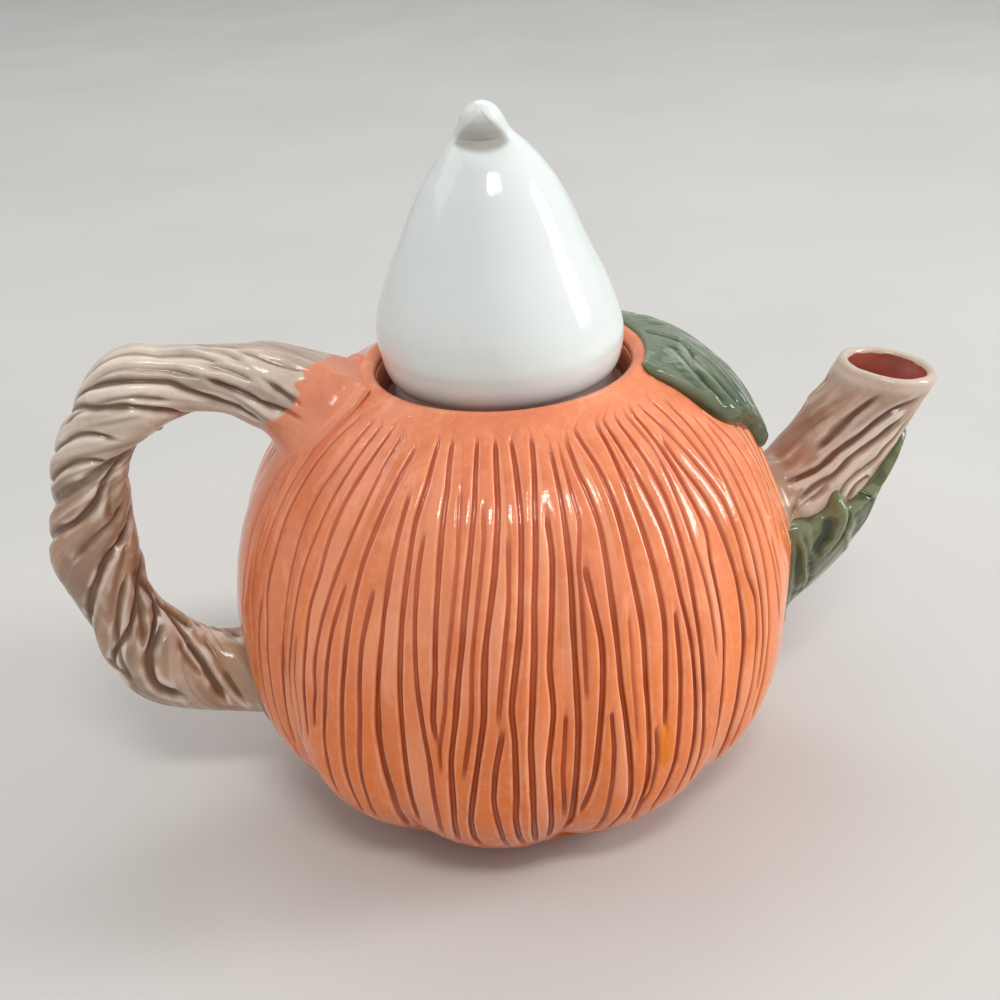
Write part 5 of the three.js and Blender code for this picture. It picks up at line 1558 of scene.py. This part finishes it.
def build_spout_leaf():
    vine = Vine(SPOUT_LINE)
    tilt = SPOUT_TIP_TILT
    width = 17.5  # mm of surface for one radian
    front = np.array(SPOUT_LEAF_EDGE, float)
    back = front[::-1].copy()
    back[:, 1] = 360 - back[:, 1] + 2.5 * np.sin(back[:, 0] * 0.23 + 1.0)
    back[:, 0] = back[:, 0] + 1.4 * np.sin(back[:, 0] * 0.17 + 2.0)
    outline = np.concatenate([front, [[61.4, 181]], back])
    outline[:, 1] = np.radians(outline[:, 1]) * width
    outline = curve_through(outline, 0.45, closed=True)

    rows, cols = 190, 230
    s = np.linspace(0.2, 68.2, rows)
    # the grid runs a little past the outline on both sides
    half = len(outline)
    left = np.full(rows, np.pi * width)
    right = np.full(rows, np.pi * width)
    for j in range(rows):
        m = np.abs(outline[:, 0] - s[j]) < 2.6
        if m.any():
            left[j], right[j] = outline[m, 1].min(), outline[m, 1].max()
    left, right = left - 2.2, right + 2.2
    for _ in range(3):
        left[1:-1] = np.minimum(left[1:-1], 0.25 * left[:-2] + 0.5 * left[1:-1] + 0.25 * left[2:])
        right[1:-1] = np.maximum(right[1:-1], 0.25 * right[:-2] + 0.5 * right[1:-1] + 0.25 * right[2:])
    u = np.linspace(0, 1, cols)[None, :]
    Y = left[:, None] + (right - left)[:, None] * u
    S = s[:, None] + 0 * Y
    F = Y / width
    x, z, ux, uz, r = vine.normal_axis(S, tilt)
    # the clay below: the spout, or the pot where the spout is still inside it
    base = r.copy()
    for k in np.arange(0.0, 15.01, 0.3):
        base = np.where(inside_body(vine.point(S, F, r + k, tilt=tilt)) > 0, r + k, base)
    D0 = inside_body(vine.point(S, F, tilt=tilt))
    base = np.maximum(base, r + flare(D0, 3.5) * (D0 > -3.5))
    base = blur_flat(blur_flat(base, 3), 3)

    flat = np.stack([S.ravel(), Y.ravel()], -1)
    dist = far_from(flat, np.concatenate([outline, outline[:1]]))[0]
    # inside test: crossings of the outline by a line towards the keel's far side
    inside = np.zeros(len(flat), bool)
    for k in range(half):
        a, b = outline[k], outline[(k + 1) % half]
        if a[0] == b[0]:
            continue
        hit = (a[0] > flat[:, 0]) != (b[0] > flat[:, 0])
        xx = a[1] + (flat[:, 0] - a[0]) * (b[1] - a[1]) / (b[0] - a[0])
        inside ^= hit & (flat[:, 1] < xx)
    d = np.where(inside, dist, -dist).reshape(S.shape)

    tab = np.array(SPOUT_LEAF_RISE, float)
    keel, side = np.interp(S, tab[:, 0], tab[:, 1]), np.interp(S, tab[:, 0], tab[:, 2])
    deg = np.degrees(F)
    full = side + (keel - side) * np.exp(-(((180 - deg) / 30) ** 2))
    # rounded margin, thicker than it is wide
    H = full * quarter(np.maximum(d, 0), np.minimum(2.3, 0.95 * full))
    scale = float(np.median(base + full))
    relief = np.zeros(len(flat))
    pts2 = np.stack([S.ravel(), F.ravel() * scale], -1)
    for height, wide, line in SPOUT_LEAF_LINES:
        for mirror in (False, True):
            p = np.array(line, float)
            if mirror:
                p[:, 1] = 360 - p[:, 1] + 3
                p[:, 0] = p[:, 0] + 1.4 * np.sin(p[:, 0] * 0.17 + 2.0)
            p[:, 1] = np.radians(p[:, 1]) * scale
            c = curve_through(p, 0.9)
            dd, where = far_from(pts2, c)
            ends = smooth(-0.08, 0.16, where) * smooth(-0.08, 0.16, 1 - where)
            relief += height * ends * np.exp(-((dd / wide) ** 2))
    fibre = 0.5 * noise2(F * scale, S, 1.0, 10.0, 95) + 0.5 * noise2(F * scale, S, 2.6, 18.0, 96)
    T = vine.point(S, F, base + full, tilt=tilt)
    lump = noise3(T.reshape(-1, 3), 6.0, 97).reshape(S.shape)
    relief = relief.reshape(S.shape) + 0.14 * (fibre - 0.4) + 0.2 * (lump - 0.5)
    keep = smooth(0.1, 1.5, d)
    H2 = np.maximum(H + relief * keep, 0.4 * H)
    H2 = np.where(d > 0, H2, -1.5 * smooth(0.0, 0.9, -d))
    P = vine.point(S, F, base + H2, tilt=tilt)
    # over the pot the leaf ends in a steep edge; what is thinner than that sinks into the clay
    over = -inside_body(P)
    sink = 2.6 * smooth(2.6, 0.1, over) * (D0 > -3.0)
    cx = axis_x(P[..., 2])
    rho = np.hypot(P[..., 0] - cx, P[..., 1])
    P[..., 0] -= (P[..., 0] - cx) / rho * sink
    P[..., 1] -= P[..., 1] / rho * sink
    under = vine.point(S, F, base - 1.9, tilt=tilt)
    # the underside keeps below the face of the pot
    rise_u = -inside_body(under)
    drop = np.maximum(0, rise_u - np.minimum(-1.6, -inside_body(P) - 0.5)) * (D0 > -3.0)
    cx = axis_x(under[..., 2])
    rho = np.hypot(under[..., 0] - cx, under[..., 1])
    under[..., 0] -= (under[..., 0] - cx) / rho * drop
    under[..., 1] -= under[..., 1] / rho * drop
    edge = np.ones(S.shape, bool)
    edge[1:-1, 1:-1] = False
    P[edge] = under[edge]
    cav = np.where(d > 0, H2 - blur_flat(blur_flat(H2, 4), 4), 0)
    # this leaf is flagged for the darker olive colours, partly painted shade under the spout
    attrs = {"cav": cav, "rim": 1 - smooth(0.2, 2.2, d), "shaded_olive": np.ones(S.shape)}
    return closed_sheet("spout_leaf", P, under, attrs)

# ---------------------------------------------------------------- lid, its collar and the gallery of the mouth
# radius, height, shift of the centre along x
DOME = [
    (28.6, 112.3, 0), (28.3, 114.6, 0), (27.9, 118.2, 0), (28.0, 119.6, 0), (28.9, 120.5, 0), (29.6, 121.7, 0),
    (30.2, 123.6, 0), (30.7, 126.6, 0), (30.9, 130.0, -0.2), (29.8, 136.0, -0.7),
    (27.75, 142.0, -0.75), (25.15, 148.0, -0.8), (22.4, 154.0, -0.7), (19.7, 160.0, -0.55), (16.6, 166.0, -0.45),
    (13.2, 171.0, -0.4), (10.0, 175.0, -0.7),
]
# the tip: centre x, centre y, height, radius along x, radius along y
TIP = [
    (-1.0, 0.0, 177.5, 7.6, 7.6), (-1.3, -0.9, 179.4, 6.5, 6.8), (-1.5, -2.1, 181.3, 5.7, 6.2),
    (-1.7, -3.2, 183.1, 4.9, 5.3), (-1.8, -4.0, 184.9, 3.6, 4.0), (-1.8, -4.4, 186.0, 1.9, 2.2),
    (-1.8, -4.5, 186.35, 0.8, 0.9),
]
LID_HOLLOW = [
    (24.2, 112.3), (25.2, 116.0), (26.4, 122.0), (26.8, 129.0), (25.6, 135.2), (23.0, 142.2), (19.6, 149.2),
    (15.6, 156.4), (11.6, 163.0), (7.0, 168.6), (3.0, 171.2),
]


def build_lid():
    seg = 176
    a = 2 * np.pi * np.arange(seg) / seg
    rings = [(x, 0.0, z, r, r) for r, z, x in DOME] + list(TIP)
    out = rows_between(rings, 190, [2, 3])
    # the seat's edge is a small round
    first = out[0]
    foot = [(first[0], 0.0, 112.3 + 0.9 * (1 - math.cos(t)), first[3] - 0.9 * (1 - math.sin(t)), 0) for t in np.linspace(0.1, 1.35, 5)]
    foot = [(q[0], q[1], q[2], q[3], q[3]) for q in foot]
    out = out[out[:, 2] > foot[-1][2] + 0.35]
    out = np.concatenate([np.array(foot), out])
    cx, cy, z, rx, ry = (out[:, k][:, None] for k in range(5))
    c, s = np.cos(a)[None, :], np.sin(a)[None, :]
    x = LID_X + cx + rx * c
    y = cy + ry * s
    zz = z - 0.9 * smooth(177.0, 178.6, z) * np.maximum(0, -s) * ry / 6
    # the tip curls forward: a shallow scoop under its edge
    w = 7.6 * smooth(185.6, 176.4, zz) + 1e-6
    q = np.clip((x + 0.8) / w, -1, 1)
    zq = zz - 1.8 * q * q
    deep = sum(np.interp(zq + e, [173.8, 174.6, 175.4, 176.1, 176.9, 178.2, 180.0, 182.0, 184.8],
                         [0.0, 0.5, 1.8, 2.9, 3.0, 2.2, 1.4, 0.7, 0.0]) for e in (-0.4, 0.0, 0.4)) / 3
    scoop = deep * (1 - q * q) ** 0.9 * (s < 0) * smooth(0.0, -0.3, s)
    y = y + scoop
    # no sharp corner where the tip starts
    ease = y.copy()
    for _ in range(26):
        ease[1:-1] = 0.25 * ease[:-2] + 0.5 * ease[1:-1] + 0.25 * ease[2:]
    y = y + (ease - y) * smooth(171.5, 174, z) * smooth(183.5, 181, z)
    # painted shade inside the scoop under the tip, grey-brown
    scoop_painted_shade = smooth(174.7, 176.0, zq) * (1 - 0.3 * smooth(177.0, 178.4, zz)) * smooth(184.6, 178.5, zz) * smooth(0.0, 0.55, 1 - q * q) * smooth(-0.15, -0.5, s)
    # soft unevenness of slip-cast clay
    P = np.stack([x, y, zz], -1)
    wob = noise3(P.reshape(-1, 3), 17.0, 101).reshape(x.shape) * 0.12 + noise3(P.reshape(-1, 3), 6.5, 102).reshape(x.shape) * 0.035
    wob = wob * smooth(113, 118, zz) * smooth(186.2, 182, zz)
    P[..., 0] -= (0.14 + wob) * c
    P[..., 1] -= (0.14 + wob) * s
    n_out = len(P)
    hollow = rows_between([(r, h) for r, h in LID_HOLLOW], 70, [0, 1])
    hollow = hollow[hollow[:, 0] > 1.0]
    r0 = hollow[0, 0]
    base = [(r0 + 2.4, 112.3), (r0 + 0.7, 112.3), (r0 + 0.2, 112.5)]
    inner = np.concatenate([np.array(base), hollow[1:]])
    shift = np.interp(inner[:, 1], [d[1] for d in DOME], [d[2] for d in DOME])
    I = np.stack([LID_X + shift[:, None] + inner[:, :1] * np.cos(a), inner[:, :1] * np.sin(a), inner[:, 1:] + 0 * a], -1)
    grid = np.concatenate([I[::-1], P])
    rows = len(grid)
    n = rows * seg
    top = np.array([[LID_X - 1.8, -4.5, 186.42]])
    cap = np.array([[LID_X - 0.45, 0.0, 171.6]])
    verts = np.concatenate([grid.reshape(-1, 3), top, cap])
    tris = np.concatenate([fan((rows - 1) * seg + np.arange(seg), n), fan(np.arange(seg), n + 1, flip=True)])
    zone = np.concatenate([np.ones(len(I)), np.zeros(n_out)])[:, None] + 0 * a
    # the neck that stands in the mouth carries little glaze; its tan tint there is partly painted shade of the gap
    # round the lid
    zone[len(I):] = 0.9 * smooth(120.3, 119.2, P[..., 2])
    shade = np.concatenate([np.zeros(I.shape[:2]), scoop_painted_shade])
    attrs = {"zone": np.concatenate([zone.ravel(), [0, 1]]), "shade": np.concatenate([shade.ravel(), [0, 0]])}
    return make_mesh("lid_shell", verts, [grid_faces(rows, seg), tris], attrs)


def lathe_ring(name, outline, seg=180, radius=0.5, steps=5):
    """A ring about the mouth's axis from a closed outline of (r, z); its corners are rounded."""
    p = np.array(outline, float)
    m = len(p)
    pts = []
    for k in range(m):
        a, b, c = p[k - 1], p[k], p[(k + 1) % m]
        u, v = a - b, c - b
        lu, lv = np.linalg.norm(u), np.linalg.norm(v)
        cut = min(radius, 0.45 * lu, 0.45 * lv)
        e, f = b + u / lu * cut, b + v / lv * cut
        for t in np.linspace(0, 1, steps):
            pts.append((1 - t) ** 2 * e + 2 * t * (1 - t) * b + t * t * f)
    # more points on the long straight runs
    full = []
    for k in range(len(pts)):
        a, b = pts[k], pts[(k + 1) % len(pts)]
        n = max(1, int(np.linalg.norm(b - a) / 0.8))
        full += [a + (b - a) * j / n for j in range(n)]
    q = np.array(full)
    ang = 2 * np.pi * np.arange(seg) / seg
    G = np.stack([LID_X + q[:, :1] * np.cos(ang), q[:, :1] * np.sin(ang), q[:, 1:] + 0 * ang], -1)
    wob = 0.05 * noise3(G.reshape(-1, 3), 8.0, 111).reshape(G.shape[:2])
    G[..., 0] -= (0.05 + wob) * np.cos(ang)
    G[..., 1] -= (0.05 + wob) * np.sin(ang)
    n = len(q)
    faces = grid_faces(n, seg)
    i = np.arange(seg)
    m2 = (i + 1) % seg
    last = (n - 1) * seg
    ringq = np.stack([last + i, last + m2, m2, i], -1)
    return make_mesh(name, G.reshape(-1, 3), [faces, ringq], {"zone": np.zeros(n * seg)})


def build_collar():
    return lathe_ring("collar_ring", [
        (21.8, 102.3), (22.8, 101.5), (24.0, 101.5), (25.2, 102.7), (25.6, 108.0), (25.6, 112.0), (21.8, 112.0), (21.8, 107.0),
    ], radius=0.45)


def build_gallery():
    # a smooth throat goes on from the lip of the mouth down to the seat
    return lathe_ring("gallery_ring", [
        (27.0, 108.3), (27.8, 107.5), (33.5, 107.5), (33.6, 119.5), (32.3, 119.5), (32.0, 118.6), (31.6, 117.0), (31.4, 115.0),
        (31.4, 112.7), (30.9, 112.0), (27.4, 112.0), (27.0, 111.4),
    ], radius=0.5)


# ---------------------------------------------------------------- put together
MATS = {
    "pumpkin_glaze": pumpkin_material(),
    "inner_glaze": inner_material(),
    "vine_glaze": vine_material(),
    "leaf_glaze": leaf_material(),
    "white_glaze": white_material(),
}
for sub in frame["record"]["subparts"]:
    o = nodes[sub["node"]]
    o.data.materials.clear()
    o.data.materials.append(MATS[sub["material_slot"]])
    for p in o.data.polygons:
        p.use_smooth = True


def place(ob, body, slot, *replaced):
    ob.data.materials.append(MATS[slot])
    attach(ob, body)
    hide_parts(*replaced)


place(build_body(), "pot", "pumpkin_glaze", "pot_body")
place(build_handle(), "pot", "vine_glaze", "handle")
place(build_spout(), "pot", "vine_glaze", "spout")
place(build_shoulder_leaf(), "pot", "leaf_glaze", "shoulder_leaf")
place(build_spout_leaf(), "pot", "leaf_glaze", "spout_leaf")
place(build_gallery(), "pot", "inner_glaze", "mouth_gallery")
place(build_collar(), "lid_seat", "white_glaze", "lid_collar")
place(build_lid(), "lid", "white_glaze", "lid_dome", "lid_knob")

# ---------------------------------------------------------------- floor, camera and light
bpy.ops.mesh.primitive_plane_add(size=8, location=(0, 0, 0))
floor = bpy.context.object
floor.name = "floor"
fg = Graph("floor")
fg.link(fg.ramp(fg.noise(6, 3), [(0.3, (200, 197, 191)), (0.7, (206, 203, 198))]), fg.bsdf.inputs["Base Color"])
fg.set(Roughness=0.62)
floor.data.materials.append(fg.mat)

cam_pos = Vector((-0.0426667, -0.3035895, 0.247))
fwd = Vector((0.11733, 0.87117, -0.47675)).normalized()
right = Vector((0.98373, -0.16772, -0.06438)).normalized()
up = right.cross(fwd).normalized()
right = fwd.cross(up).normalized()
cam = bpy.data.cameras.new("camera")
cam.sensor_width = 36
cam.lens = 46.8
cam.clip_start = 0.01
cam_obj = bpy.data.objects.new("camera", cam)
scene.collection.objects.link(cam_obj)
cam_obj.matrix_world = Matrix(
    (
        (right.x, up.x, -fwd.x, cam_pos.x),
        (right.y, up.y, -fwd.y, cam_pos.y),
        (right.z, up.z, -fwd.z, cam_pos.z),
        (0, 0, 0, 1),
    )
)
scene.camera = cam_obj


def area(name, azimuth, elevation, distance, size, energy, target=(0.0, 0.0, 0.09), color=(1, 1, 1)):
    a, e = math.radians(azimuth), math.radians(elevation)
    t = Vector(target)
    loc = t + distance * Vector((math.cos(e) * math.cos(a), math.cos(e) * math.sin(a), math.sin(e)))
    lamp = bpy.data.lights.new(name, "AREA")
    lamp.shape = "RECTANGLE"
    lamp.size, lamp.size_y = size
    lamp.energy = energy
    lamp.color = color
    o = bpy.data.objects.new(name, lamp)
    o.location = loc
    o.rotation_euler = (t - loc).to_track_quat("-Z", "Y").to_euler()
    scene.collection.objects.link(o)


area("window_right", -10, 21, 1.5, (0.36, 0.8), 13.6, color=(0.94, 0.97, 1.0))
area("soft_top", -87, 57, 1.5, (0.46, 0.18), 7.5, color=(1.0, 0.985, 0.96))
area("soft_left", 155, 42, 2.4, (1.6, 1.4), 8)
area("soft_back", 80, 55, 1.8, (1.2, 0.8), 6)

world = bpy.data.worlds.new("world")
world.use_nodes = True
world.node_tree.nodes["Background"].inputs["Color"].default_value = (0.8, 0.82, 0.85, 1)
world.node_tree.nodes["Background"].inputs["Strength"].default_value = 0.65
scene.world = world
scene.view_settings.view_transform = "Standard"
scene.view_settings.look = "None"
